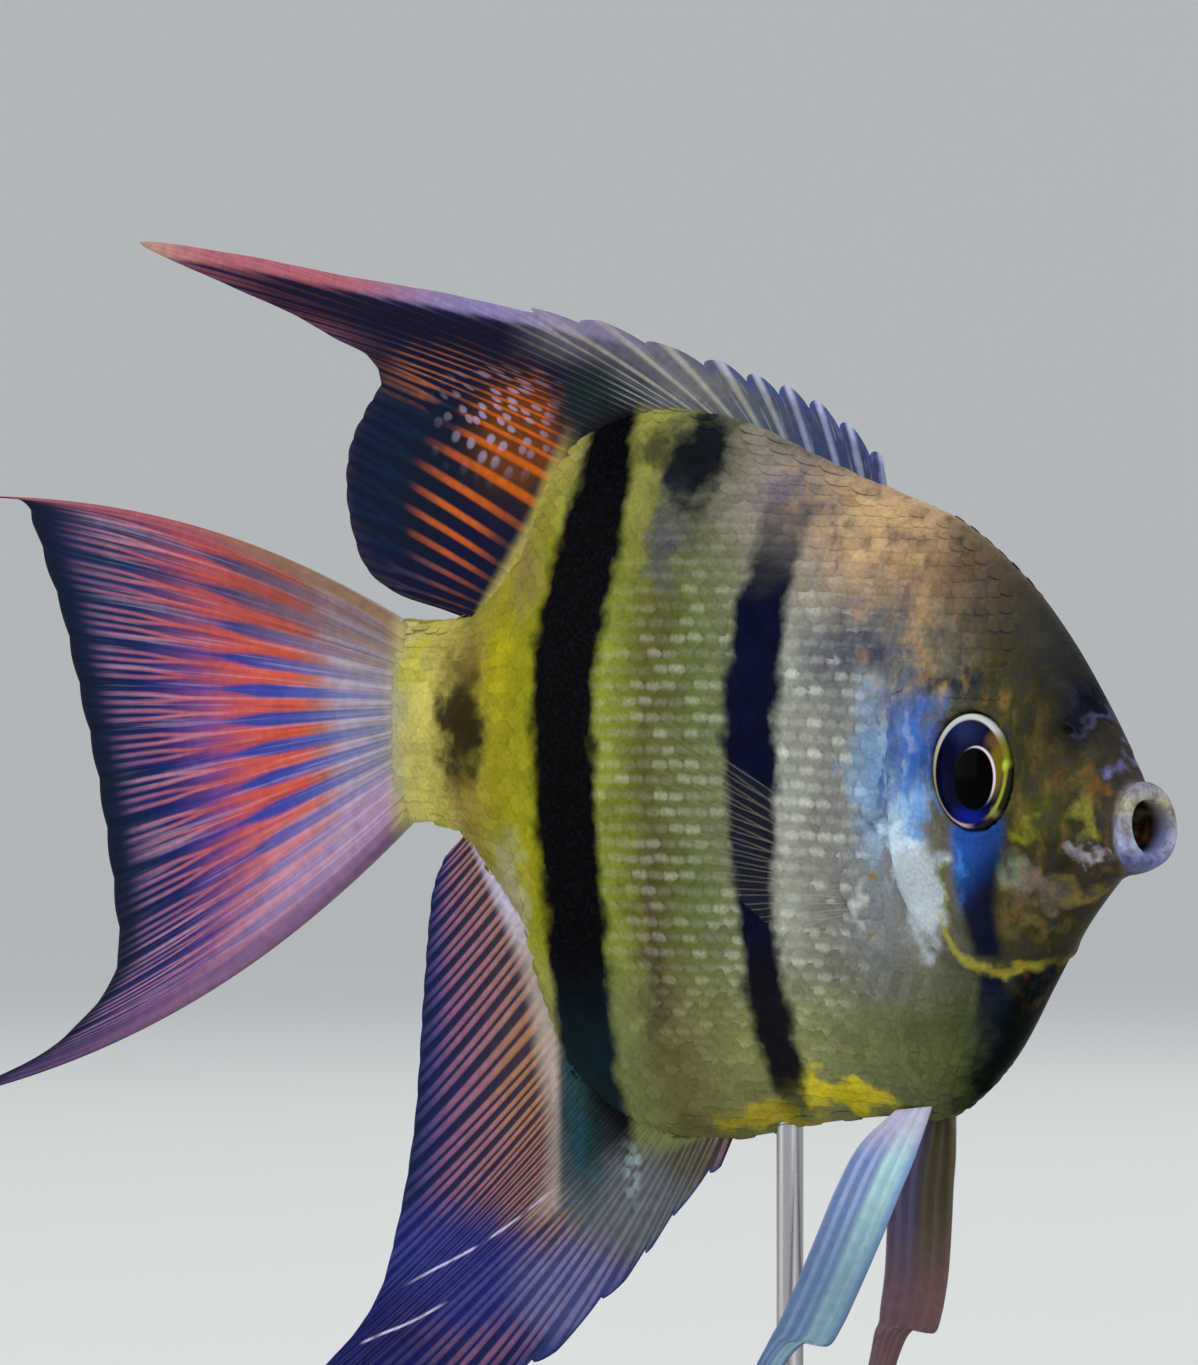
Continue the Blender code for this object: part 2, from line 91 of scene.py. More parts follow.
def node(tree, kind, *values, **settings):
    """Adds a node: values fill its inputs in order, a socket links and None leaves one alone."""
    made = tree.nodes.new(kind)
    for key, value in settings.items():
        setattr(made, key, value)
    for socket, value in zip(made.inputs, values):
        if isinstance(value, bpy.types.NodeSocket):
            tree.links.new(value, socket)
        elif value is not None:
            socket.default_value = value
    return made


def paint(code):
    """A colour from its hex code."""
    parts = [int(code[i : i + 2], 16) / 255 for i in (0, 2, 4)]
    linear = [p / 12.92 if p <= 0.04045 else ((p + 0.055) / 1.055) ** 2.4 for p in parts]
    return (*linear, 1.0)


def new_material(name, **constants):
    """A material and its Principled shader, with constant inputs set on the shader itself."""
    made = bpy.data.materials.new(name)
    made.use_nodes = True
    shader = made.node_tree.nodes["Principled BSDF"]
    for key, value in constants.items():
        shader.inputs[key.replace("_", " ")].default_value = value
    return made, shader


def piece(name, points, faces, material, smooth=True):
    """A finished piece of the model from points in metres."""
    mesh = bpy.data.meshes.new(name)
    mesh.from_pydata([tuple(p) for p in points], [], [tuple(f) for f in faces])
    mesh.update()
    if smooth:
        mesh.shade_smooth()
    made = bpy.data.objects.new(name, mesh)
    bpy.context.scene.collection.objects.link(made)
    if material:
        mesh.materials.append(material)
    return made


def lathe(profile, around):
    """Points and faces of a profile of (radius, height) turned about the upright axis."""
    angles = np.linspace(0, 2 * np.pi, around, endpoint=False)
    profile = np.array(profile)
    points = np.stack(
        [
            np.outer(np.cos(angles), profile[:, 0]),
            np.outer(np.sin(angles), profile[:, 0]),
            np.tile(profile[:, 1], (around, 1)),
        ],
        -1,
    ).reshape(-1, 3)
    count = len(profile)
    faces = []
    for i in range(around):
        for j in range(count - 1):
            a, b = i * count + j, (i + 1) % around * count + j
            faces.append((a, b, b + 1, a + 1))
    return points, faces


bowl_paint, bowl_shader = new_material("pale backdrop", Base_Color=(0.84, 0.84, 0.83, 1), Roughness=0.9)
sweep = [(1.4 + 1.3 * math.sin(a), 1.3 - 1.3 * math.cos(a)) for a in np.linspace(0, math.radians(52), 20)]
bowl_points, bowl_faces = lathe([(0.001, 0.0), (0.7, 0.0), *sweep], 96)
bowl = piece("backdrop_bowl", bowl_points, [f[::-1] for f in bowl_faces], bowl_paint)

world = bpy.data.worlds.new("soft room")
world.use_nodes = True
world.node_tree.nodes["Background"].inputs["Color"].default_value = (0.92, 0.96, 1.0, 1)
world.node_tree.nodes["Background"].inputs["Strength"].default_value = 0.50
bpy.context.scene.world = world
bpy.context.scene.view_settings.view_transform = "Standard"

middle = Vector((ROD_X, 0, SWIM_HEIGHT))
for name, place, size, power in (
    ("key", (0.25, -0.75, 0.95), 0.7, 7.4),
    ("fill", (0.95, -0.35, 0.15), 0.6, 2.2),
    ("side", (-0.75, -0.75, 0.20), 0.6, 2.0),
    ("back", (-0.35, 0.85, 0.70), 0.6, 2.0),
):
    light = bpy.data.lights.new(name, "AREA")
    light.size, light.energy = size, power
    lamp = bpy.data.objects.new(name, light)
    bpy.context.scene.collection.objects.link(lamp)
    lamp.location = middle + Vector(place)
    lamp.rotation_euler = (middle - lamp.location).to_track_quat("-Z", "Y").to_euler()

camera = bpy.data.cameras.new("camera")
camera.sensor_fit, camera.sensor_height = "VERTICAL", 36.0
camera.lens = 36.0 * VIEW_DISTANCE / FRAME_HEIGHT
camera.clip_start = 0.02
view = bpy.data.objects.new("camera", camera)
bpy.context.scene.collection.objects.link(view)
across = Vector((math.cos(VIEW_TURN), math.sin(VIEW_TURN), 0))
back = Vector((math.sin(VIEW_TURN), -math.cos(VIEW_TURN), 0))
aim = middle - across * AIM_BACK + Vector((0, 0, AIM_UP))
view.location = aim + back * VIEW_DISTANCE
view.rotation_euler = (-back).to_track_quat("-Z", "Y").to_euler()
bpy.context.scene.camera = view


# ---- Colours of the body ----------------------------------------------------------------------------
# A silvery olive fish with near-black bars, a yellow flank behind, a tan nape and a sky-blue gill
# cover. One group paints skin and scales alike, from where they are on the body.


def number(tree, operation, *values):
    return node(tree, "ShaderNodeMath", *values, operation=operation).outputs[0]


def vector(tree, operation, *values):
    return node(tree, "ShaderNodeVectorMath", *values, operation=operation).outputs[0]


def times(tree, *values):
    """The product of all values."""
    made = values[0]
    for value in values[1:]:
        made = number(tree, "MULTIPLY", made, value)
    return made


def step(tree, value, low, high):
    """Rises smoothly from 0 at low to 1 at high."""
    made = node(tree, "ShaderNodeMapRange", value, low, high, interpolation_type="SMOOTHSTEP")
    return made.outputs[0]


def mix(tree, share, below, above, way="MIX"):
    """Mixes two colours, of which each is a socket or the hex code of a paint."""
    made = node(tree, "ShaderNodeMix", data_type="RGBA", blend_type=way)
    for index, value in ((0, share), (6, below), (7, above)):
        if isinstance(value, str):
            value = paint(value)
        if isinstance(value, bpy.types.NodeSocket):
            tree.links.new(value, made.inputs[index])
        else:
            made.inputs[index].default_value = value
    return made.outputs[2]


def over(tree, colour, laid, *masks):
    """Lays a second colour over the first where all the masks meet."""
    return mix(tree, times(tree, *masks), colour, laid)


def shaded(tree, colour, level):
    """A colour made lighter or darker by a level."""
    grey = node(tree, "ShaderNodeCombineColor", level, level, level).outputs[0]
    return mix(tree, 1.0, colour, grey, "MULTIPLY")


def ramp(tree, value, stops, low=0.0, high=1.0):
    """Colours along value, from (place, colour code) stops between low and high."""
    span = high - low
    if (low, high) != (0.0, 1.0):
        value = number(tree, "MULTIPLY_ADD", value, 1 / span, -low / span)
    made = node(tree, "ShaderNodeValToRGB", value)
    line = made.color_ramp
    while len(line.elements) < len(stops):
        line.elements.new(0.5)
    for element, (place, code) in zip(line.elements, stops):
        element.position, element.color = (place - low) / span, paint(code)
    return made.outputs[0]


def noise(tree, where, scale, detail=3.0, rough=0.5):
    made = node(tree, "ShaderNodeTexNoise", where)
    made.inputs["Scale"].default_value = scale
    made.inputs["Detail"].default_value = detail
    made.inputs["Roughness"].default_value = rough
    return made.outputs["Fac"]


def curve(tree, value, places):
    """A smooth line through (value, result) places, both between -100 and 100."""
    made = node(tree, "ShaderNodeFloatCurve", 1.0, number(tree, "MULTIPLY_ADD", value, 0.005, 0.5))
    line = made.mapping.curves[0]
    while len(line.points) < len(places):
        line.points.new(0.5, 0.5)
    for point, (at, result) in zip(line.points, places):
        point.location = (at / 200 + 0.5, result / 200 + 0.5)
    made.mapping.update()
    return number(tree, "MULTIPLY_ADD", made.outputs[0], 200.0, -100.0)


def bar(tree, x, z, hind_edge, fore_edge, soft):
    """Mask of an upright bar between two lines of (z, x) places."""
    behind = number(tree, "SUBTRACT", x, curve(tree, z, hind_edge))
    ahead = number(tree, "SUBTRACT", curve(tree, z, fore_edge), x)
    return times(tree, step(tree, behind, -soft, soft), step(tree, ahead, -soft, soft))


def patch(tree, where, middle_x, middle_z, half_x, half_z, soft=0.5, strength=1.0):
    """Mask of an oval patch that fades over its outer share, soft."""
    scale, shift = (1 / half_x, 0, 1 / half_z), (-middle_x / half_x, 0, -middle_z / half_z)
    place = vector(tree, "MULTIPLY_ADD", where, scale, shift)
    length = node(tree, "ShaderNodeVectorMath", place, operation="LENGTH").outputs["Value"]
    limits = (length, 1.0, 1.0 - soft, 0.0, strength)
    return node(tree, "ShaderNodeMapRange", *limits, interpolation_type="SMOOTHSTEP").outputs[0]


def daub(tree, colour, where, patches):
    """Lays oval patches over a colour: middle x and z, half sizes, softness, colour code and strength."""
    for middle_x, middle_z, half_x, half_z, soft, code, strength in patches:
        mask = patch(tree, where, middle_x, middle_z, half_x, half_z, soft, strength)
        colour = over(tree, colour, code, mask)
    return colour


def fish_place(tree, middle_x=0.0, middle_z=0.0):
    """Place in fish millimetres from a middle, with its x and z."""
    where = node(tree, "ShaderNodeTexCoord").outputs["Object"]
    shift = (-ROD_X * 1000 - middle_x, 0, -SWIM_HEIGHT * 1000 - middle_z)
    where = vector(tree, "MULTIPLY_ADD", where, (1000,) * 3, shift)
    parts = node(tree, "ShaderNodeSeparateXYZ", where).outputs
    return where, parts[0], parts[2]


def wandering(tree, where, scale, *reaches, detail=2.0):
    """Places moved about by one noise, so that what is drawn there has loose edges."""
    made = node(tree, "ShaderNodeTexNoise", where)
    made.inputs["Scale"].default_value = scale
    made.inputs["Detail"].default_value = detail
    off_middle = vector(tree, "SUBTRACT", made.outputs["Color"], (0.5,) * 3)
    return [vector(tree, "MULTIPLY_ADD", off_middle, (reach,) * 3, where) for reach in reaches]


colours = bpy.data.node_groups.new("angelfish colours", "ShaderNodeTree")
# Outputs: the body's colour, where its bars are, and where the scales get a painted silvery sheen.
for label, kind in (("Colour", "Color"), ("Bars", "Float"), ("Painted sheen", "Float")):
    colours.interface.new_socket(label, in_out="OUTPUT", socket_type=f"NodeSocket{kind}")
sockets_out = node(colours, "NodeGroupOutput")
on_body, x, z = fish_place(colours)
loose, ragged = wandering(colours, on_body, 0.45, 2.4, 6.0, detail=3.0)
free = node(colours, "ShaderNodeSeparateXYZ", loose)
free_x, free_z = free.outputs[0], free.outputs[2]

flank = ramp(colours, free_x, [
    (-37, "a09a80"), (-35, "b0aa60"), (-33, "b3ad55"), (-29, "8a7d3a"), (-25, "8e8a1c"), (-20, "868616"),
    (-13, "7a8130"), (-9, "585626"), (-5, "5a6431"), (-1, "6c724e"), (3, "929588"), (8, "7a7b74"),
    (12, "74787c"), (16, "6c6a60"), (22, "3c3a20"), (28, "302c18"), (33, "3c3630"),
], -38, 37)
upper = ramp(colours, free_x, [
    (-30, "a89a60"), (-22, "a3964a"), (-17, "6f7040"), (-12, "8c8a42"), (-6, "62624c"), (-1, "7c7468"),
    (4, "8c7c6c"), (9, "a68c6c"), (14, "93795a"), (18, "6a5844"), (22, "41382c"), (27, "1c232c"),
    (33, "202a38"),
], -38, 37)
lower = ramp(colours, free_x, [
    (-30, "b0a860"), (-20, "7d8048"), (-13, "6f7544"), (-8, "66603c"), (-3, "747646"), (3, "7e8250"),
    (8, "6e714a"), (13, "5e6240"), (18, "4a5230"), (23, "2c3428"), (28, "241f12"), (33, "383024"),
], -38, 37)
lift = number(colours, "ADD", free_z, times(colours, free_x, 0.25))
body = mix(colours, step(colours, lift, 6.0, 17.0), flank, upper)
body = over(colours, body, lower, step(colours, free_z, -14.0, -23.0))

# Patches of the head, flank and belly: middle x and z, half sizes, how soft, colour and strength.
body = daub(colours, body, ragged, (
    (-6.9, 19.6, 4.7, 4.9, 0.6, "050c18", 0.97),  # dark cloud under the dorsal fin
    (-8.2, 13.5, 2.6, 6.0, 0.9, "3c4050", 0.75),
    (1.6, 17.0, 3.4, 4.2, 0.9, "6f6272", 0.7),  # where the second bar fades out upwards
    (-9.4, -17.0, 2.2, 15.0, 0.9, "443a24", 0.75),  # faint hind bar
    (-24.5, -12.5, 3.6, 6.5, 0.9, "a0987c", 0.8),  # the flank behind the broad bar, dull below
    (-24.6, 3.6, 3.0, 4.5, 0.9, "a39a14", 0.6),
    (-34.0, 4.5, 1.5, 3.2, 0.9, "b4b030", 0.7),
    (-28.8, 5.6, 2.4, 3.0, 0.9, "665830", 0.6),
    (6.5, -17.5, 3.8, 4.8, 0.9, "5e6348", 0.45),
    (7.4, 4.4, 4.4, 4.6, 0.9, "5c6068", 0.55),
    (-22.6, 12.0, 4.2, 5.4, 0.9, "74604e", 0.55),  # brown behind the broad bar
    (-11.0, 20.6, 2.4, 3.0, 0.8, "26281e", 0.75),  # the dark rim of the back
    (6.4, -26.9, 5.6, 2.0, 0.5, "c0b028", 1.0),  # yellow belly edge
    (-1.0, -29.2, 5.6, 1.5, 0.6, "a8982c", 0.95),
    # The nape's own tan, lightened here by a painted highlight where light from above falls.
    (10.5, 14.5, 7.0, 4.6, 0.9, "c4a478", 0.6),  # bright nape
    (11.9, -3.4, 3.2, 8.2, 1.0, "7096bc", 0.95),  # sky-blue gill cover
    (15.6, -1.4, 3.5, 6.0, 0.8, "3a66b4", 1.0),
    (15.4, -6.0, 2.9, 3.4, 0.8, "6c98d0", 0.9),
    (13.0, -3.0, 0.45, 6.5, 0.8, "2c508c", 0.7),  # the shadow along its free edge
    (15.9, -11.8, 3.0, 5.3, 0.5, "aab6bc", 1.0),  # its silver-white foot
    (14.4, -8.4, 1.6, 3.0, 0.8, "c4dcec", 0.9),
    (18.2, -12.0, 0.6, 4.0, 0.9, "8c8c4c", 0.8),  # olive rims of the gill covers
    (11.9, -10.9, 0.9, 0.9, 0.9, "8c6c24", 0.9),  # rusty spot over the pectoral fin
    (10.9, -13.6, 0.9, 3.4, 1.0, "b8bab4", 0.75),
    (11.6, -15.9, 0.9, 0.8, 0.9, "84743c", 0.8),
    (18.6, 2.9, 3.6, 1.5, 0.8, "1c2430", 0.9),  # eye bar above the eye
    (10.6, 6.0, 6.0, 4.4, 0.9, "4a4c5c", 0.85),
    (15.6, 7.6, 1.0, 4.0, 0.9, "c39a66", 0.45),
    (28.2, -3.4, 3.2, 2.6, 0.9, "4c4026", 0.7),
    (26.4, -6.2, 3.6, 2.6, 0.9, "484a1c", 0.8),  # olive cheek
    (25.0, -7.4, 2.0, 1.3, 1.0, "8c9024", 0.6),
    (23.6, -10.6, 1.6, 2.2, 0.9, "7d8c74", 0.7),
    (29.6, 2.2, 5.4, 5.0, 0.9, "060c1c", 0.95),  # dark snout
    (30.0, 0.6, 2.0, 0.8, 1.0, "5c5e80", 0.4),
    (31.9, -2.8, 1.2, 0.9, 0.9, "6c70a0", 0.8),  # lilac hump over the lips
    (30.4, -5.6, 1.5, 2.8, 0.9, "6c6430", 0.75),
    (30.8, -4.6, 1.3, 1.6, 1.0, "7c5424", 0.75),  # ochre fold behind the lips
    (30.2, -6.6, 1.3, 1.5, 1.0, "8c8830", 0.8),
    (30.4, -8.6, 2.4, 0.8, 1.0, "b4b0bc", 0.6),  # pale edge of the lower jaw
    (26.0, -11.6, 4.0, 1.6, 0.9, "74665a", 0.8),
    (28.6, -11.6, 2.8, 0.8, 1.0, "7a6c30", 0.55),  # ochre lines under the chin
    (25.0, -14.0, 3.4, 0.9, 1.0, "6a5e34", 0.55),
))

# The bars: the broad one from the dorsal fin to the anal fin, the one behind the head, the stalk's
# brown band, the bar through the eye and the breast's dark front.
broad = bar(
    colours, free_x, free_z,
    [(-40, -23), (-28, -21), (-17, -19.7), (-8, -20.3), (8, -20.2), (16, -18.3), (22, -18), (30, -24)],
    [
        (-40, -15.5), (-28, -14.3), (-18, -13.5), (-8, -14.2), (7, -13.8), (13, -12.4), (22, -12.9),
        (30, -16),
    ],
    0.75,
)
second = bar(
    colours, free_x, free_z,
    [(-30, 1.2), (-22, -0.6), (-14, -1.1), (-6, -1.5), (5, -1.8), (9, -0.9), (19, 1.2)],
    [(-30, 2.9), (-21, 3), (-16, 2.3), (-8, 3.1), (6, 3.4), (15, 4.4), (19, 5.2)],
    0.7,
)
fading = times(colours, step(colours, free_z, 18.0, 8.5), step(colours, free_z, -29.5, -25.5))
second = times(colours, second, number(colours, "POWER", fading, 0.45))
stalk = patch(colours, ragged, -29.0, -0.1, 3.4, 6.6, 0.65)
under_eye = bar(
    colours, x, z,
    [(-26, 18.0), (-20, 20.0), (-16, 20.3), (-12.5, 19.4), (-8, 19.0), (-4, 19.0)],
    [(-26, 20.0), (-20, 22.2), (-16, 22.6), (-12.5, 22.4), (-8, 23.4), (-4, 23.4)],
    0.6,
)
under_eye = times(colours, under_eye, step(colours, z, -26.0, -18.0))
under_eye = times(colours, under_eye, step(colours, z, -5.0, -7.5))
rim_gap = number(colours, "MULTIPLY_ADD", patch(colours, on_body, 21.0, -17.2, 4.5, 1.0, 0.6), -0.85, 1.0)
under_eye = times(colours, under_eye, rim_gap)
breast = bar(
    colours, free_x, free_z,
    [(-29, 15.0), (-26.3, 17.2), (-22.6, 20.0), (-18.9, 22.2), (-16.4, 25.5), (-14, 32)],
    [(-29, 60.0), (-14, 60.0)],
    1.3,
)
breast = times(colours, breast, step(colours, free_z, -13.5, -17.0))
gill_rim = curve(
    colours, x,
    [(16, -10.0), (17.4, -13.0), (18.6, -15.8), (20.6, -17.2), (23.0, -17.5), (25.5, -16.8), (28, -15.5)],
)
gill_rim = step(
    colours, number(colours, "ABSOLUTE", number(colours, "SUBTRACT", free_z, gill_rim)), 0.70, 0.10
)
gill_rim = times(
    colours, gill_rim, times(colours, step(colours, x, 16.8, 18.5), step(colours, x, 26.5, 23.5))
)
body = over(colours, body, "040a0a", breast, 0.97)
body = over(colours, body, "a09838", gill_rim, 0.8)
body = over(colours, body, "20140a", stalk, 0.94)
eye_bar_blue = mix(
    colours, step(colours, number(colours, "SUBTRACT", z, x), -28.5, -34.0), "1f4c9c", "040c24"
)
body = over(colours, body, eye_bar_blue, under_eye, number(colours, "SUBTRACT", 1.0, gill_rim), 0.95)
light_edge = times(colours, under_eye, patch(colours, ragged, 19.1, -10.4, 0.9, 4.4, 0.9, 0.6))
body = over(colours, body, "3f80c8", light_edge)
second_blue = mix(colours, step(colours, free_z, -12.0, -22.0), "050a24", "141216")
body = over(colours, body, second_blue, second)
grains = noise(colours, on_body, 3.2, 1.0)
broad_black = mix(colours, step(colours, free_z, -16.0, -26.0), "010103", "051c24")
body = over(colours, body, mix(colours, step(colours, grains, 0.40, 0.95), broad_black, "120e14"), broad)

# Pale pinkish lips, bluish on the lower one.
lips = step(colours, x, 32.3, 33.3)
lip_colour = ramp(colours, z, [
    (-10.6, "343c64"), (-9.4, "6c78ac"), (-8.2, "a4acd0"), (-6.6, "9ca0b0"), (-5.4, "b4ac90"),
    (-4.5, "a4a0ac"), (-3.6, "5c5c78"),
], -11.5, -3.5)
lip_colour = over(
    colours, lip_colour, "6c5844", step(colours, noise(colours, on_body, 1.5, 2.0), 0.38, 0.90)
)
body = over(colours, body, lip_colour, lips)

# Brown and ochre mottling on the head and nape, pale flecks on the gill cover, then a fine grain.
upright = vector(colours, "MULTIPLY", on_body, (1.0, 1.0, 0.55))
mottle = noise(colours, upright, 0.75, 2.0, 0.6)
head_area = times(
    colours, step(colours, number(colours, "ADD", free_x, times(colours, free_z, 0.6)), 8.0, 16.0),
    number(colours, "SUBTRACT", 1.0, under_eye),
)
off_snout = times(colours, head_area, step(colours, number(colours, "ADD", x, z), 29.0, 22.0))
brown = times(
    colours, step(colours, mottle, 0.48, 0.74),
    times(colours, off_snout, number(colours, "MULTIPLY_ADD", step(colours, z, -3.0, 3.0), 0.6, 0.4)), 0.38,
)
body = over(colours, body, "b48c4e", brown)
brown = times(colours, step(colours, mottle, 0.52, 0.28), head_area, 0.50)
body = over(colours, body, "2e2c38", brown)
flecks = times(
    colours, step(colours, mottle, 0.50, 0.64), patch(colours, on_body, 13.4, -5.0, 4.8, 9.5, 0.9, 0.5)
)
body = over(colours, body, "a8c8e0", flecks)
wide = noise(colours, on_body, 0.35, 0.0)
shade = number(
    colours, "ADD", number(colours, "MULTIPLY_ADD", grains, 0.55, 0.52), times(colours, wide, 0.40)
)
body = shaded(colours, body, shade)
dark = number(colours, "MAXIMUM", broad, number(colours, "MAXIMUM", second, under_eye))
# Where the scales get their painted silvery sheen: the pale flank, off the bars, mottled by the grain.
silver = times(
    colours, patch(colours, on_body, -1.0, -5.0, 20.0, 25.0, 0.7), number(colours, "SUBTRACT", 1.0, dark)
)
silver = times(colours, silver, step(colours, x, 13.0, 10.5))
silver = times(colours, silver, number(colours, "MULTIPLY_ADD", step(colours, x, -2.0, 5.0), 0.35, 0.45))
silver = times(colours, silver, number(colours, "MULTIPLY_ADD", grains, 1.2, 0.3))
colours.links.new(body, sockets_out.inputs["Colour"])
colours.links.new(dark, sockets_out.inputs["Bars"])
colours.links.new(silver, sockets_out.inputs["Painted sheen"])


def body_colours(tree):
    return node(tree, "ShaderNodeGroup", node_tree=colours).outputs


# ---- Skin of the body -------------------------------------------------------------------------------
# One moist skin from the lips to the root of the tail, drawn over the bones of the head: the gill
# cover's free edge, the cheek plate before it, the eye's rim, the nostril and the pushed-out jaws.

SKIN_UNDER = 0.12  # how far the skin lies under the scales' backs
SKIN_BODY = [  # back x and z, belly x and z, half width, level of the widest place, fullness
    (-36.6, 7.9, -36.6, -7.9, 1.3, 0.50, 1.00),
    (-32.8, 7.8, -33.0, -7.7, 2.1, 0.50, 1.00),
    (-29.2, 8.6, -29.8, -8.9, 2.8, 0.50, 1.05),
    (-26.0, 11.2, -26.0, -13.0, 3.5, 0.52, 1.10),
    (-23.0, 15.2, -22.6, -17.8, 4.2, 0.53, 1.15),
    (-20.6, 19.8, -20.8, -23.4, 4.7, 0.54, 1.15),
    (-16.8, 22.7, -17.4, -28.1, 5.1, 0.55, 1.15),
    (-10.4, 23.9, -10.6, -31.0, 5.5, 0.55, 1.15),
    (-3.8, 22.8, -3.8, -30.7, 5.9, 0.55, 1.15),
    (3.6, 19.9, 3.4, -29.4, 6.1, 0.56, 1.15),
    (10.0, 17.3, 9.4, -28.7, 6.1, 0.57, 1.12),
    (16.2, 14.9, 15.2, -28.5, 5.8, 0.58, 1.08),
    (21.8, 10.9, 20.2, -24.9, 5.2, 0.58, 1.02),
    (25.6, 7.0, 24.0, -19.5, 4.5, 0.57, 0.98),
    (28.8, 2.8, 27.2, -14.9, 3.8, 0.55, 0.95),
    (31.0, -0.5, 30.2, -11.6, 3.2, 0.50, 0.95),
]
SKIN_MOUTH = [
    (31.9, -2.2, 31.3, -10.9, 3.00, 0.50, 0.92),
    (32.4, -3.3, 32.0, -10.7, 3.00, 0.50, 0.94),
    (32.8, -3.85, 32.7, -10.6, 3.15, 0.50, 0.95),
    (33.4, -3.75, 33.5, -10.4, 3.40, 0.50, 0.95),
    (33.95, -3.95, 34.3, -10.05, 3.36, 0.50, 0.95),
    (34.10, -4.5, 34.7, -9.7, 3.08, 0.50, 0.96),
    (33.9, -4.95, 34.5, -9.25, 2.78, 0.50, 0.97),
    (33.3, -5.1, 33.6, -9.0, 2.64, 0.50, 1.00),
    (32.0, -5.0, 32.1, -9.1, 2.60, 0.50, 1.00),
    (30.6, -5.5, 30.5, -8.8, 2.10, 0.50, 1.00),
    (29.6, -6.5, 29.6, -7.9, 0.90, 0.50, 1.00),
]
GILL_EDGE = [  # x and z, down the rear edge and forward along the lower one
    (15.8, 3.6), (13.7, 2.4), (13.4, -1.0), (13.3, -5.3), (13.6, -9.7), (14.6, -12.7), (17.3, -16.4),
    (20.8, -17.6), (24.5, -16.8), (26.8, -15.4),
]
CHEEK_EDGE = [(17.3, -1.5), (17.3, -5.0), (17.5, -8.9), (18.3, -13.0), (20.6, -15.4), (24.6, -14.6)]


def through(rows, places):
    """The smooth curve through rows at places, where whole numbers are the rows themselves."""
    rows = np.asarray(rows, float)
    padded = np.vstack([2 * rows[0] - rows[1], rows, 2 * rows[-1] - rows[-2]])
    places = np.asarray(places, float)
    start = np.clip(places.astype(int), 0, len(rows) - 2)
    t = (places - start)[..., None]
    a, b, c, d = (padded[start + i] for i in range(4))
    return 0.5 * (2 * b + (c - a) * t + (2 * a - 5 * b + 4 * c - d) * t**2 + (3 * b - a - 3 * c + d) * t**3)


def rise(value, low, high):
    share = np.clip((value - low) / (high - low), 0, 1)
    return share * share * (3 - 2 * share)


def from_line(x, z, line, steps=12):
    """Signed distance to a smooth line of (x, z) places, plus to its left, and the share along it."""
    line = through(line, np.linspace(0, len(line) - 1, (len(line) - 1) * steps + 1))
    best = np.full(x.shape, 1e9)
    signed, along = np.zeros(x.shape), np.zeros(x.shape)
    for i, (a, b) in enumerate(zip(line, line[1:])):
        run = b - a
        share = np.clip(((x - a[0]) * run[0] + (z - a[1]) * run[1]) / (run @ run), 0, 1)
        off_x, off_z = x - a[0] - share * run[0], z - a[1] - share * run[1]
        far = np.hypot(off_x, off_z)
        nearer = far < best
        best = np.where(nearer, far, best)
        signed = np.where(nearer, np.where(run[0] * off_z - run[1] * off_x > 0, far, -far), signed)
        along = np.where(nearer, (i + share) / (len(line) - 1), along)
    return signed, along


def bump(value, middle, half):
    return np.exp(-(((value - middle) / half) ** 2))


def head_relief(x, z):
    """How far the head's plates and pits stand out from the plain loft, in millimetres."""
    ex, ez = x - EYE[0], z - EYE[2]
    fore = ex * math.cos(EYE_LEAN) + ez * math.sin(EYE_LEAN)
    lift = ez * math.cos(EYE_LEAN) - ex * math.sin(EYE_LEAN)
    around = np.hypot(fore / 3.70, lift / 4.32)
    out = 0.20 * bump(around, 1.07, 0.06) - 0.08 * bump(around, 1.24, 0.09)
    far, along = from_line(x, z, GILL_EDGE)
    ends = rise(along, 0.0, 0.10) * (1 - rise(along, 0.9, 1.0))
    over_edge = 0.34 * np.exp(-far / 2.4) * rise(far, -0.05, 0.30)
    behind_edge = -0.30 * np.exp(far / 0.9) * rise(-far, 0, 0.15)
    out += ends * np.where(far > 0, over_edge, behind_edge)
    far, along = from_line(x, z, CHEEK_EDGE)
    ends = rise(along, 0.0, 0.15) * (1 - rise(along, 0.8, 1.0))
    over_edge = 0.20 * np.exp(-far / 1.6) * rise(far, -0.05, 0.35)
    out += ends * np.where(far > 0, over_edge, -0.12 * np.exp(far / 0.8))
    out += 0.35 * np.exp(-(((x - 27.0) / 3.0) ** 2) - ((z + 7.5) / 3.4) ** 2)  # cheek muscle
    nostril = np.hypot((x - 28.3) / 0.55, (z + 0.2) / 0.40)
    out += 0.16 * bump(nostril, 1.35, 0.35) - 0.55 * (1 - rise(nostril, 0.5, 1.1))
    far, along = from_line(x, z, [(31.6, -1.6), (30.7, -4.0), (30.5, -6.6), (31.2, -8.6)])
    out -= 0.30 * bump(far, 0, 0.38) * rise(along, 0, 0.2)  # fold behind the upper jaw
    far, along = from_line(x, z, [(31.9, -8.9), (30.0, -9.0), (27.6, -10.6), (25.6, -12.8)])
    out -= 0.22 * bump(far, 0, 0.35) * (1 - rise(along, 0.7, 1.0))  # fold above the lower jaw
    out += 0.18 * bump(far, -0.75, 0.5) * (1 - rise(along, 0.6, 1.0))
    out += 0.35 * np.exp(-(((x - 10.9) / 1.1) ** 2) - ((z + 12.2) / 2.2) ** 2)  # pectoral fin's root
    out -= 2.7 * (1 - rise(around, 0.93, 1.03))
    return out


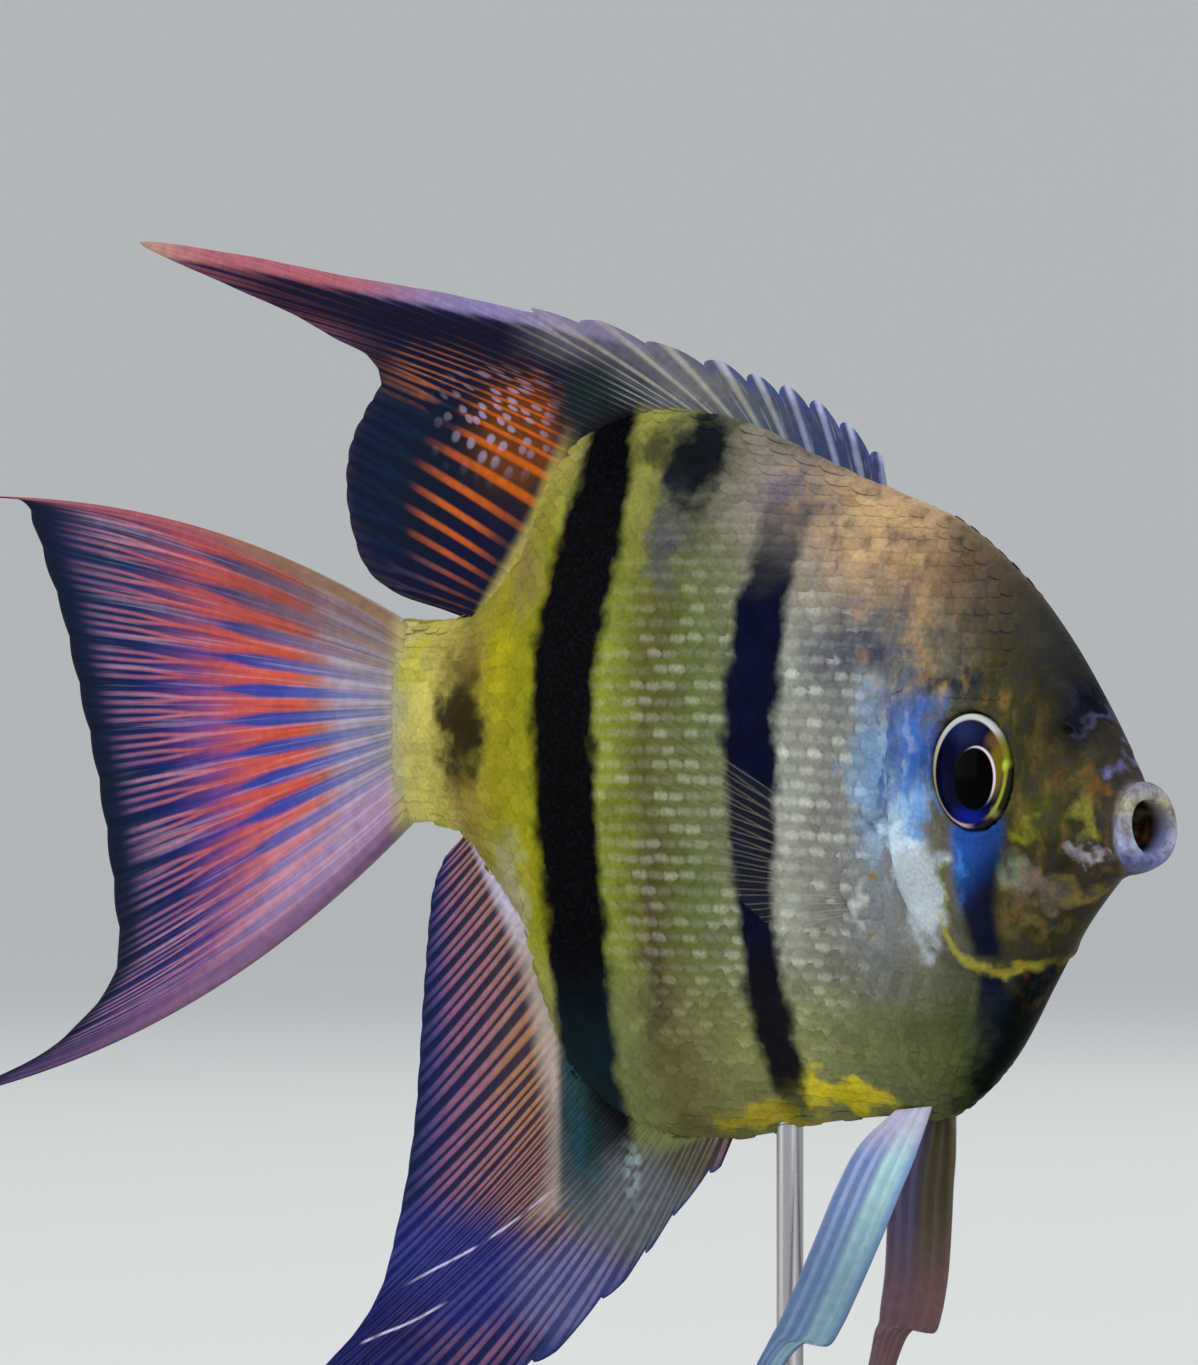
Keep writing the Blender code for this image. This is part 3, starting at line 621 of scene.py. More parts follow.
def skin_rows(places, around):
    """Points of the skin's plain loft at places along it and angles around it."""
    stations = through(SKIN_BODY + SKIN_MOUTH, places)
    back_x, back_z, belly_x, belly_z, half, level, fullness = (stations[:, i : i + 1] for i in range(7))
    lift, wide = np.sin(around)[None], np.cos(around)[None]
    share = np.where(lift > 0, level + (1 - level) * lift, level + level * lift)
    span = back_z - belly_z
    share = SKIN_UNDER / span + share * (1 - 2 * SKIN_UNDER / span)
    made = np.empty((len(places), len(around), 3))
    made[..., 0] = belly_x + (back_x - belly_x) * share
    made[..., 1] = (half - SKIN_UNDER) * np.sign(wide) * np.abs(wide) ** fullness
    made[..., 2] = belly_z + span * share
    return made


def grid_normals(grid):
    """Outward normals of a grid that is closed along its second axis."""
    along = np.gradient(grid, axis=0)
    across = (np.roll(grid, -1, 1) - np.roll(grid, 1, 1)) / 2
    normals = np.cross(across, along)
    return normals / np.maximum(np.linalg.norm(normals, axis=-1, keepdims=True), 1e-9)


def skin_grid():
    places = np.concatenate([
        np.linspace(0, 9.5, 92, endpoint=False),
        np.linspace(9.5, 15, 112, endpoint=False),
        np.linspace(15, 22.5, 64, endpoint=False),
        np.linspace(22.5, 26, 22),
    ])
    turns = np.linspace(0, 1, 257)[:-1]
    around = 2 * np.pi * turns - 0.16 * np.sin(4 * np.pi * turns)  # closer together on the sides
    grid = skin_rows(places, around)
    normals = grid_normals(grid)
    side = rise(np.abs(normals[..., 1]), 0.25, 0.55)
    fade = (1 - rise(places, 15.4, 16.6))[:, None]
    grid += normals * (head_relief(grid[..., 0], grid[..., 2]) * side * fade)[..., None]
    return places, grid


skin_places, skin_points = skin_grid()
skin_scene = bent(skin_points)
rows, ring = skin_points.shape[:2]
skin_faces = []
for i in range(rows - 1):
    for j in range(ring):
        k = (j + 1) % ring
        skin_faces.append((i * ring + j, i * ring + k, (i + 1) * ring + k, (i + 1) * ring + j))
tail_cap, throat_cap = rows * ring, rows * ring + 1
for j in range(ring):
    k = (j + 1) % ring
    skin_faces.append((tail_cap, k, j))
    skin_faces.append((throat_cap, (rows - 1) * ring + j, (rows - 1) * ring + k))
caps = [skin_scene[0].mean(0), skin_scene[-1].mean(0)]


def roughen(tree, shader, height, strength, distance):
    """A fine relief on a shader's surface."""
    made = node(tree, "ShaderNodeBump", strength, distance)
    tree.links.new(height, made.inputs["Height"])
    tree.links.new(made.outputs[0], shader.inputs["Normal"])


skin_paint, skin_shader = new_material("angelfish skin", Roughness=0.42, Specular_IOR_Level=0.02)
tree = skin_paint.node_tree
found = body_colours(tree)
tree.links.new(found["Colour"], skin_shader.inputs["Base Color"])
where = node(tree, "ShaderNodeTexCoord").outputs["Object"]
roughen(tree, skin_shader, noise(tree, where, 3200.0, 1.0), 0.25, 0.0003)
skin = piece("skin", [*skin_scene.reshape(-1, 3), *caps], skin_faces, skin_paint)
throat_paint, throat_shader = new_material("mouth lining", Roughness=0.35, Specular_IOR_Level=0.10)
tree = throat_paint.node_tree
where, x, z = fish_place(tree)
stops = [(0.35, "160e0a"), (0.50, "4a2c1c"), (0.62, "4c5440")]
blotches = ramp(tree, noise(tree, where, 1.1, 2.0), stops)
blotches = over(tree, blotches, "101a5c", step(tree, z, -8.2, -9.0))
inner_lip = step(tree, x, 32.2, 33.4)
lip_colour = mix(tree, step(tree, z, -5.6, -8.0), "a09890", "7c84b0")
blotches = over(tree, blotches, lip_colour, inner_lip)
tree.links.new(blotches, throat_shader.inputs["Base Color"])
skin.data.materials.append(throat_paint)
inner = np.zeros(len(skin_faces), int)
for index in range(len(skin_faces)):
    row = index // ring if index < (rows - 1) * ring else (0 if index % 2 == 0 else rows - 1)
    inner[index] = skin_places[min(row, rows - 1)] > 22.6
skin.data.polygons.foreach_set("material_index", inner)
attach(skin, "root")
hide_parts("mouth", "head", "breast", "trunk", "tail_stalk", "gill_cover_right", "gill_cover_left")


# ---- Scales -----------------------------------------------------------------------------------------
# Thin overlapping plates of bone in the skin, in rows that run along the body, each free at its rear
# edge. They are largest on the flank, and small on the nape, breast and stalk.

SCALE_LENGTH, SCALE_WIDTH = 2.40, 2.15  # of the flank's scales
SCALE_PATCH = 0.0015  # share of the map that half a scale's width takes, and its whole length
ROW_PITCH, COLUMN_PITCH = 1.17, 1.52


def scale_shape():
    """One scale, one unit wide and long, rooted at the origin with its free edge towards +y."""
    across, along = 5, 4
    points, local = [], []
    for j in range(along + 1):
        share = j / along
        if share < 0.6:
            wide = 0.5 * (0.80 + 0.20 * math.sin(math.pi * share))
        else:
            wide = 0.5 * (1.0 - 0.25 * (share - 0.6))
        for i in range(across + 1):
            side = 2 * i / across - 1
            length = share * (1 - 0.30 * side**2 * share)
            dome = 0.012 + 0.018 * (1 - side**2) * math.sin(math.pi * (0.15 + 0.7 * share)) + 0.024 * share
            points.append((side * wide, length, dome))
            local.append((side, share, 1.0))
    top = len(points)
    faces = []
    for j in range(along):
        for i in range(across):
            a = j * (across + 1) + i
            faces.append((a, a + 1, a + across + 2, a + across + 1))
    rim = list(range(across + 1)) + [(j + 1) * (across + 1) + across for j in range(along)]
    rim += [along * (across + 1) + i for i in range(across - 1, -1, -1)]
    rim += [j * (across + 1) for j in range(along - 1, 0, -1)]
    for v in rim:
        x_place, y_place, z_place = points[v]
        points.append((x_place * 0.97, y_place * 0.98, -0.05 if y_place < 0.3 else z_place - 0.014))
        local.append((local[v][0], local[v][1], 0.0))
    for i, v in enumerate(rim):
        k = (i + 1) % len(rim)
        faces.append((rim[k], v, top + i, top + k))
    faces.append(tuple(top + i for i in range(len(rim)))[::-1])
    made = piece("scale_shape", points, faces, None)
    next_to = (1, len(rim) - 1)
    ends = [tuple(edge.vertices) for edge in made.data.edges]
    sharp = [a in rim and b in rim and abs(rim.index(a) - rim.index(b)) in next_to for a, b in ends]
    made.data.attributes.new("sharp_edge", "BOOLEAN", "EDGE").data.foreach_set("value", sharp)
    made.data.attributes.new("local", "FLOAT_VECTOR", "POINT").data.foreach_set("vector", np.ravel(local))
    return made


def scale_tree():
    """Sets a scale on every point, turned by the point's own directions, and makes one mesh of them."""
    tree = bpy.data.node_groups.new("rows of scales", "GeometryNodeTree")
    for label, kind in (
        ("Geometry", "Geometry"), ("Shape", "Object"), ("Finish", "Material"), ("Patch size", "Float")
    ):
        tree.interface.new_socket(label, in_out="INPUT", socket_type=f"NodeSocket{kind}")
    tree.interface.new_socket("Geometry", in_out="OUTPUT", socket_type="NodeSocketGeometry")
    given = node(tree, "NodeGroupInput").outputs

    def named(name, kind):
        return node(tree, "GeometryNodeInputNamedAttribute", name, data_type=kind).outputs[0]

    shape = node(tree, "GeometryNodeObjectInfo")
    tree.links.new(given["Shape"], shape.inputs["Object"])
    turn = node(
        tree, "FunctionNodeAxesToRotation", named("outward", "FLOAT_VECTOR"),
        named("tailward", "FLOAT_VECTOR"), primary_axis="Z", secondary_axis="Y",
    )
    set_on = node(tree, "GeometryNodeInstanceOnPoints")
    tree.links.new(given["Geometry"], set_on.inputs["Points"])
    tree.links.new(shape.outputs["Geometry"], set_on.inputs["Instance"])
    tree.links.new(turn.outputs[0], set_on.inputs["Rotation"])
    tree.links.new(named("size", "FLOAT_VECTOR"), set_on.inputs["Scale"])
    real = node(tree, "GeometryNodeRealizeInstances", set_on.outputs[0])
    small = node(tree, "ShaderNodeVectorMath", named("local", "FLOAT_VECTOR"), operation="SCALE")
    tree.links.new(given["Patch size"], small.inputs["Scale"])
    spot = vector(tree, "ADD", named("root_place", "FLOAT_VECTOR"), small.outputs[0])
    keep = node(
        tree, "GeometryNodeStoreNamedAttribute", real.outputs[0], domain="CORNER", data_type="FLOAT2"
    )
    keep.inputs["Name"].default_value = "OFBake"
    tree.links.new(spot, keep.inputs["Value"])
    finish = node(tree, "GeometryNodeSetMaterial", keep.outputs[0])
    tree.links.new(given["Finish"], finish.inputs["Material"])
    node(tree, "NodeGroupOutput", finish.outputs[0])
    return tree


def spread(low, high, pitch):
    """Places from low to high whose spacing at each is pitch(place)."""
    made = [low]
    while made[-1] < high:
        made.append(made[-1] + pitch(made[-1]))
    return made


scale_paint, scale_shader = new_material("angelfish scales", Roughness=0.40, Specular_IOR_Level=0.02)
tree = scale_paint.node_tree
found = body_colours(tree)
local = node(
    tree, "ShaderNodeSeparateXYZ",
    node(tree, "ShaderNodeAttribute", attribute_name="local").outputs["Vector"],
)
tone = node(tree, "ShaderNodeAttribute", attribute_name="tone").outputs["Fac"]
across, along = local.outputs[0], local.outputs[1]
off_middle = number(tree, "ABSOLUTE", across)
# A painted glint: a pale silvery reflection laid into each scale's colour, strongest where the painted
# sheen mask is.
painted_glint = times(tree, step(tree, off_middle, 0.48, 0.06), step(tree, along, 0.20, 0.55))
painted_glint = times(tree, painted_glint, step(tree, along, 1.12, 0.84))
painted_glint = times(tree, painted_glint, number(tree, "MULTIPLY_ADD", step(tree, tone, 0.25, 1.0), 0.46, 0.20))
painted_glint = times(tree, painted_glint, found["Painted sheen"])
edge_shade = number(tree, "MULTIPLY_ADD", step(tree, off_middle, 0.60, 1.0), -0.10, 1.0)
edge_shade = times(tree, edge_shade, number(tree, "MULTIPLY_ADD", tone, 0.28, 0.86))
colour = shaded(tree, found["Colour"], edge_shade)
colour = over(tree, colour, "dfe4d8", painted_glint)
tree.links.new(colour, scale_shader.inputs["Base Color"])

chance = np.random.default_rng(7)
skin_tree = BVHTree.FromPolygons(
    [tuple(p) for p in skin_scene.reshape(-1, 3)], skin_faces[: (rows - 1) * ring]
)
shape = scale_shape()
scale_nodes = scale_tree()


def row_pitch(z):
    return ROW_PITCH * (1 - 0.42 * float(rise(z, 8, 17)) - 0.36 * float(rise(-z, 16, 28)))


def column_pitch(x):
    return COLUMN_PITCH * (1 - 0.45 * float(rise(x, 5, 17)) - 0.22 * float(rise(-x, 20, 32)))


row_heights = spread(-3.0, 34.0, row_pitch) + [-6.0 - z for z in spread(-3.0, 34.0, row_pitch)[1:]]
for side, side_name in side_names.items():
    places, outward, tailward, sizes, tones, roots = [], [], [], [], [], []
    for index, height in enumerate(sorted(row_heights)):
        for x_place in spread(-36.0, 31.5, column_pitch):
            x_place += (0.5 * (index % 2) + chance.uniform(-0.05, 0.05)) * column_pitch(x_place)
            squeeze = 1 - 0.24 * float(rise(-x_place, 16, 30))
            z_place = height * squeeze - 0.05 * max(0.0, x_place) + chance.uniform(-0.06, 0.06)
            start = Vector(bent((x_place, side * 20.0, z_place)))
            spot, normal, face, _ = skin_tree.ray_cast(start, Vector((0, -side, 0)), 0.03)
            steepest = 0.46 if x_place > 7 and z_place > 0 else 0.12
            if spot is None or abs(normal.y) < steepest or normal.y * side < 0:
                continue
            ex, ez = x_place - EYE[0], z_place - EYE[2]
            by_eye = math.hypot(ex / 5.6, ez / 6.0) < 1
            past_ends = x_place > 24.5 - 0.15 * abs(z_place) or x_place < -35.2
            on_gill_cover = x_place > 12.9 and -18.2 < z_place < 2.5
            if by_eye or past_ends or on_gill_cover:
                continue
            small = row_pitch(height) / ROW_PITCH
            narrow = column_pitch(x_place) / COLUMN_PITCH
            towards_nape = float(rise(x_place + 0.5 * max(0.0, z_place), 9, 18))
            thick = 0.85 * min(small, narrow) * (1 - 0.85 * towards_nape)
            lie = Vector((-1, 0, chance.uniform(-0.06, 0.06) + 0.05)).cross(normal).cross(normal) * -1
            places.append(spot)
            outward.append(normal)
            tailward.append(lie.normalized())
            sizes.append((SCALE_WIDTH * small * squeeze / 1000, SCALE_LENGTH * narrow / 1000, thick / 1000))
            tones.append(chance.uniform(0, 1))
            roots.append((0.05 + 0.9 * (face // ring) / rows, 0.05 + 0.9 * (face % ring) / ring, 0.0))
    mesh = bpy.data.meshes.new("scale_roots")
    mesh.from_pydata(places, [], [])
    for label, values in (
        ("outward", outward), ("tailward", tailward), ("size", sizes), ("root_place", roots)
    ):
        mesh.attributes.new(label, "FLOAT_VECTOR", "POINT").data.foreach_set("vector", np.ravel(values))
    mesh.attributes.new("tone", "FLOAT", "POINT").data.foreach_set("value", tones)
    coat = bpy.data.objects.new(f"scales_{side_name}", mesh)
    bpy.context.scene.collection.objects.link(coat)
    modifier = coat.modifiers.new("scales", "NODES")
    modifier.node_group = scale_nodes
    inputs = {
        item.name: item.identifier for item in scale_nodes.interface.items_tree if item.in_out == "INPUT"
    }
    modifier[inputs["Shape"]] = shape
    modifier[inputs["Finish"]] = scale_paint
    modifier[inputs["Patch size"]] = SCALE_PATCH
    made = bpy.data.meshes.new_from_object(coat.evaluated_get(bpy.context.evaluated_depsgraph_get()))
    coat.modifiers.clear()
    coat.data = made
    made.name = f"scales_{side_name}"
    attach(coat, "root")
    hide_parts("trunk")
bpy.data.objects.remove(shape)


# ---- Eyes -------------------------------------------------------------------------------------------
# Each eye is a clear, slightly flattened ball in its socket: a pale ring at the rim, a dark blue iris
# with an olive flash in front, and a large black pupil edged with navy, with a painted silver-white
# highlight along its front edge.

EYE_HALF = (3.62, 4.24)  # half length and height where the skin meets it
EYE_AROUND = 72  # points round each ring
EYE_RINGS = [  # share of the half sizes, and how far out of the body's middle plane
    (0.80, 2.2), (0.97, 3.2), (1.0, 4.2), (0.99, 4.75), (0.965, 5.02), (0.93, 5.12), (0.87, 5.17),
    (0.80, 5.24), (0.70, 5.36), (0.58, 5.50), (0.46, 5.62), (0.34, 5.71), (0.22, 5.77), (0.10, 5.80),
]

eye_paint, eye_shader = new_material("angelfish eye", Roughness=0.12, Specular_IOR_Level=0.02)
tree = eye_paint.node_tree
turned = node(tree, "ShaderNodeVectorRotate", fish_place(tree, EYE[0], EYE[2])[0], rotation_type="Y_AXIS")
turned.inputs["Angle"].default_value = -EYE_LEAN
disc = turned.outputs[0]
place = node(tree, "ShaderNodeSeparateXYZ", disc)
fore, lift = place.outputs[0], place.outputs[2]
ring_tint = mix(tree, step(tree, lift, -1.0, 3.0), "bca858", "bcc0bc")
ring_tint = over(tree, ring_tint, "d8bcb0", step(tree, lift, -2.2, -3.4))
ring_tint = over(tree, ring_tint, "8c9430", step(tree, fore, 1.2, 2.4), step(tree, lift, 3.4, 2.2))
ring_tint = over(tree, ring_tint, "0c1240", step(tree, fore, -0.2, 1.2), step(tree, lift, -2.4, -3.4))
colour = mix(
    tree, patch(tree, disc, 0, 0, EYE_HALF[0] * 0.985, EYE_HALF[1] * 0.985, 0.03), "2c2a1c", ring_tint
)
iris = patch(tree, disc, 0.06, -0.04, 3.28, 3.86, 0.05)
navy = mix(tree, noise(tree, disc, 1.1), "02030f", "070b34")
navy = over(tree, navy, "28386c", patch(tree, disc, -0.8, 2.9, 2.4, 1.5, 0.9), 0.4)
navy = over(tree, navy, "0c1a7c", patch(tree, disc, 0.6, -3.2, 2.4, 1.1, 0.9))
colour = over(tree, colour, navy, iris)
colour = daub(tree, colour, disc, (  # the olive flash in front
    (2.6, 0.7, 0.95, 2.8, 0.6, "6c5c18", 0.95),
    (1.9, 2.5, 0.9, 0.9, 0.8, "6c482c", 0.7),
    (2.75, -2.6, 0.5, 0.7, 0.9, "8c8450", 0.8),
    (2.3, -0.5, 0.45, 1.0, 0.9, "34467c", 0.8),
    (3.25, 0.9, 0.32, 0.6, 0.9, "b4c83c", 0.9),
))
# The rim round the pupil: navy behind, with a painted silver-white highlight on its front side.
edge = patch(tree, disc, 0.92, -0.38, 1.84, 2.40, 0.07)
pupil_highlight = step(tree, number(tree, "ADD", fore, times(tree, lift, 0.7)), 0.4, 2.2)
colour = over(tree, colour, mix(tree, pupil_highlight, "10164c", "dccad8"), edge)
colour = over(tree, colour, "010102", patch(tree, disc, 0.80, -0.44, 1.78, 2.32, 0.06))
tree.links.new(colour, eye_shader.inputs["Base Color"])

for side, side_name in side_names.items():
    around = np.linspace(0, 2 * np.pi, EYE_AROUND, endpoint=False)
    points = []
    for share, out in EYE_RINGS:
        ex, ez = EYE_HALF[0] * share * np.cos(around), EYE_HALF[1] * share * np.sin(around)
        x_place = EYE[0] + ex * math.cos(EYE_LEAN) - ez * math.sin(EYE_LEAN)
        z_place = EYE[2] + ex * math.sin(EYE_LEAN) + ez * math.cos(EYE_LEAN)
        points.append(np.stack([x_place, np.full(EYE_AROUND, side * out), z_place], -1))
    middle_back, middle_front = (EYE[0], side * 2.0, EYE[2]), (EYE[0], side * 5.81, EYE[2])
    points = np.concatenate([*points, [middle_back, middle_front]])
    faces = []
    last = (len(EYE_RINGS) - 1) * EYE_AROUND
    for j in range(EYE_AROUND):
        k = (j + 1) % EYE_AROUND
        faces.append((len(points) - 2, k, j))
        faces.append((last + j, last + k, len(points) - 1))
        for i in range(len(EYE_RINGS) - 1):
            a = i * EYE_AROUND
            faces.append((a + j, a + k, a + EYE_AROUND + k, a + EYE_AROUND + j))
    if side > 0:
        faces = [f[::-1] for f in faces]
    eye = piece(f"eye_ball_{side_name}", bent(points), faces, eye_paint)
    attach(eye, "root")
    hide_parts(f"eye_{side_name}")


# ---- Dorsal fin -------------------------------------------------------------------------------------
# Nine stiff spines joined by a web, then branching soft rays whose front ones run out to a streamer.
# Real rays are hard and jointed, with thin skin between, so each stands out as a ridge on both faces.

DORSAL_SPINES = [  # root x on the back, tip x and z
    (9.6, 8.6, 19.8), (7.8, 5.6, 22.1), (5.6, 2.7, 23.9), (3.2, -0.1, 25.1), (1.0, -3.0, 26.0),
    (-1.2, -6.3, 27.1), (-3.2, -11.3, 28.4), (-5.0, -17.4, 30.4), (-6.6, -24.0, 31.6),
]
DORSAL_SOFT = [
    (-7.2, -24.2, 31.3), (-8.4, -32.4, 33.0), (-10.0, -42.4, 34.7), (-11.6, -52.2, 36.6),
    (-13.0, -61.7, 37.82), (-14.4, -53.2, 34.2), (-16.0, -47.3, 31.9), (-17.8, -43.0, 29.8),
    (-19.4, -39.9, 28.4), (-20.8, -38.6, 26.4), (-22.4, -39.9, 24.4), (-24.2, -41.4, 21.8),
    (-25.8, -41.9, 18.8), (-27.2, -41.4, 15.2), (-28.2, -39.8, 11.8), (-28.9, -36.2, 9.7),
    (-29.4, -31.6, 8.9),
]
SINK = 1.1  # how deep the fins' roots go into the body


def split(ray, along, first=0.45, second=0.70):
    """Distance to the nearest ray or branch, in ray spaces: a ray forks once, and then again."""
    off = np.abs(ray - np.round(ray))
    off = np.abs(off - 0.20 * rise(along, first, first + 0.18))
    return np.abs(off - 0.10 * rise(along, second, second + 0.18))


def body_rim(root_x, upper):
    """Points of the body's edge at root_x, sunk into it."""
    stations = through(SKIN_BODY, np.linspace(0, 15, 301))
    edge_x, edge_z = (stations[:, 0], stations[:, 1]) if upper else (stations[:, 2], stations[:, 3])
    height = np.interp(root_x, edge_x, edge_z)
    slope = (np.interp(root_x + 0.4, edge_x, edge_z) - np.interp(root_x - 0.4, edge_x, edge_z)) / 0.8
    long = np.hypot(slope, 1)
    sign = 1 if upper else -1
    return root_x + sign * slope / long * SINK, height - sign / long * SINK


def fin_web(roots, tips, bow, steps):
    """Grid of (x, y, z) from roots to tips, each line bowed by a share of its length."""
    along = tips - roots
    bend = np.stack([along[:, 2], np.zeros(len(along)), -along[:, 0]], -1) * np.reshape(bow, (-1, 1))
    middle = (roots + tips) / 2 + bend
    t = np.array(steps)[None, :, None]
    return (1 - t) ** 2 * roots[:, None] + 2 * t * (1 - t) * middle[:, None] + t**2 * tips[:, None]


def fin_sheet(name, web, half, rays, steps, material):
    """A closed two-sided sheet from a grid and its half thickness, with a UV of ray number and share."""
    count, columns = web.shape[:2]
    points = np.concatenate([web.reshape(-1, 3), web.reshape(-1, 3)])
    points[: count * columns, 1] -= half.ravel()
    points[count * columns :, 1] += half.ravel()
    far = count * columns
    faces = []
    for i in range(count - 1):
        for j in range(columns - 1):
            a = i * columns + j
            quad = (a, a + 1, a + columns + 1, a + columns)
            faces += [quad, tuple(far + v for v in quad[::-1])]
    rim = list(range(columns)) + [i * columns + columns - 1 for i in range(1, count)]
    rim += [(count - 1) * columns + j for j in range(columns - 2, -1, -1)]
    rim += [i * columns for i in range(count - 2, 0, -1)]
    faces += [(a, far + a, far + b, b) for a, b in zip(rim, rim[1:] + rim[:1])]
    made = piece(name, bent(points), faces, material)
    bm = bmesh.new()
    bm.from_mesh(made.data)
    layer = bm.loops.layers.uv.new("ray_and_share")
    for face in bm.faces:
        for loop in face.loops:
            index = loop.vert.index % far
            loop[layer].uv = (rays[index // columns], steps[index % columns])
    bmesh.ops.recalc_face_normals(bm, faces=bm.faces)
    bm.to_mesh(made.data)
    bm.free()
    return made


def clustered(count, near_end=0.35):
    """Shares from 0 to 1, closer together towards 1."""
    t = np.linspace(0, 1, count)
    return t * (1 + near_end) - near_end * t**2


def closing(steps, reach=0.03):
    """Falls from 1 to almost nothing over the last part, for a rounded margin."""
    return np.sqrt(np.clip(1 - (np.clip(np.array(steps) - 1 + reach, 0, 1) / reach) ** 2, 0.02, 1))


def side_margin(rays, reach=0.3):
    """Falls from 1 to almost nothing at the first and the last ray, over reach ray spaces."""
    return np.sqrt(np.clip(np.minimum(rays, rays[-1] - rays) / reach, 0.02, 1))[:, None]


def upright_fin(name, spines, soft, soft_rays, upper, bow, material, notch=1.3, fork=0.66):
    """A dorsal or anal fin as one sheet, spiny in front and soft behind, whose rays fork at a share."""
    table = np.array(spines + soft)
    numbers = np.concatenate(
        [np.arange(len(spines)), len(spines) - 1 + np.linspace(0.25, soft_rays, len(soft))]
    )
    last = numbers[-1]
    rays = np.unique(np.concatenate([np.linspace(0, last, int(last * 10) + 1), numbers]).round(4))
    rows = np.interp(rays, numbers, np.arange(len(table)))
    straight = np.stack([np.interp(rows, np.arange(len(table)), table[:, i]) for i in range(3)], -1)
    curved = through(table, rows)
    line = np.where(rays[:, None] < len(spines) - 1, straight, curved)
    root_x, root_z = body_rim(line[:, 0], upper)
    flat = np.zeros(len(rays))
    roots, tips = np.stack([root_x, flat, root_z], -1), np.stack([line[:, 1], flat, line[:, 2]], -1)
    length = np.linalg.norm(tips - roots, axis=1)
    spiny = 1 - rise(rays, len(spines) - 1.2, len(spines) - 0.8)
    between = np.abs(np.cos(np.pi * rays))  # 1 on a ray, 0 halfway
    short = np.where(spiny > 0.5, notch * (1 - between**0.7), 0.14 * (1 - between))
    tips = roots + (tips - roots) * (1 - short / length)[:, None]
    steps = clustered(64)
    web = fin_web(roots, tips, bow * np.minimum(1, length / 30), steps)
    ray, along = rays[:, None], steps[None, :]
    off = np.where(spiny[:, None] > 0.5, np.abs(ray - np.round(ray)), split(ray, along, fork, 2.0))
    ridge = 0.13 * (1 - 0.6 * along) * bump(off, 0, np.where(spiny[:, None] > 0.5, 0.16, 0.11))
    half = (0.50 * (1 - along) ** 1.5 + 0.11 + ridge) * closing(steps)[None]
    half *= side_margin(rays, 0.35)
    return fin_sheet(name, web, half, rays, steps, material)


fin_rays = bpy.data.node_groups.new("fin rays", "ShaderNodeTree")
for label, value in (("First fork", 0.45), ("Second fork", 0.70), ("Half width", 0.15), ("Softness", 0.05)):
    made = fin_rays.interface.new_socket(label, in_out="INPUT", socket_type="NodeSocketFloat")
    made.default_value = value
for label in ("Ray", "Number", "Share"):
    fin_rays.interface.new_socket(label, in_out="OUTPUT", socket_type="NodeSocketFloat")
given = node(fin_rays, "NodeGroupInput").outputs
place = node(
    fin_rays, "ShaderNodeSeparateXYZ", node(fin_rays, "ShaderNodeUVMap", uv_map="ray_and_share").outputs[0]
)
ray, share = place.outputs[0], place.outputs[1]
off = number(fin_rays, "ABSOLUTE", number(fin_rays, "SUBTRACT", ray, number(fin_rays, "ROUND", ray)))
for label, reach in (("First fork", 0.20), ("Second fork", 0.10)):
    opened = step(fin_rays, share, given[label], number(fin_rays, "ADD", given[label], 0.18))
    off = number(fin_rays, "ABSOLUTE", number(fin_rays, "SUBTRACT", off, times(fin_rays, opened, reach)))
inner = number(fin_rays, "SUBTRACT", given["Half width"], given["Softness"])
outer = number(fin_rays, "ADD", given["Half width"], given["Softness"])
node(fin_rays, "NodeGroupOutput", step(fin_rays, off, outer, inner), ray, share)


def ray_masks(tree, *values):
    """Outputs of the fin rays group, with its inputs set in order."""
    return node(tree, "ShaderNodeGroup", *values, node_tree=fin_rays).outputs


def uneven(tree, colour, where, scale, low, high):
    """Makes a colour lighter and darker by noise, between low and high."""
    level = number(tree, "MULTIPLY_ADD", noise(tree, where, scale), high - low, low)
    return shaded(tree, colour, level)


def drawn_out(tree, ray_number, along, per_ray, per_length, detail):
    """Noise in streaks along the rays."""
    across_rays, along_rays = times(tree, ray_number, per_ray), times(tree, along, per_length)
    place = node(tree, "ShaderNodeCombineXYZ", across_rays, along_rays)
    return noise(tree, place.outputs[0], 1.0, detail)


def dots(tree, across, along, size):
    """Round spots in loose rows over a plane of across and along, one to a unit square."""
    where = node(tree, "ShaderNodeCombineXYZ", across, along).outputs[0]
    made = node(tree, "ShaderNodeTexVoronoi", where, voronoi_dimensions="2D")
    made.inputs["Scale"].default_value = 1.0
    made.inputs["Randomness"].default_value = 0.75
    return step(tree, made.outputs["Distance"], size, size * 0.45)


dorsal_paint, dorsal_shader = new_material("dorsal fin", Roughness=0.38, Specular_IOR_Level=0.05)
tree = dorsal_paint.node_tree
where, x, z = fish_place(tree)
rays_here = ray_masks(tree, 0.66, 2.0, 0.16, 0.08)
along = rays_here["Share"]
spiny = step(tree, rays_here["Number"], 8.4, 7.6)
ray = mix(tree, spiny, rays_here["Ray"], ray_masks(tree, 2.0, 2.0, 0.12, 0.10)["Ray"])
loose_here = wandering(tree, where, 0.5, 2.0)[0]
top_edge = [
    (-62, 37.9), (-52, 36.6), (-42, 34.7), (-24, 31.4), (-15, 29.6), (-6.3, 27.1), (-1, 25.6), (3, 23.9),
    (9, 19.6),
]
depth = number(tree, "SUBTRACT", curve(tree, x, top_edge), z)  # below the upper edge
web_colour = mix(tree, step(tree, depth, 0.6, 2.6), "1c2050", "03062a")
web_colour = over(tree, web_colour, "4e525c", step(tree, x, -17.0, -9.0))
web_colour = over(tree, web_colour, "16143c", step(tree, x, -36.0, -42.0))
web_colour = over(tree, web_colour, "343c5c", step(tree, x, -5.0, 4.0))
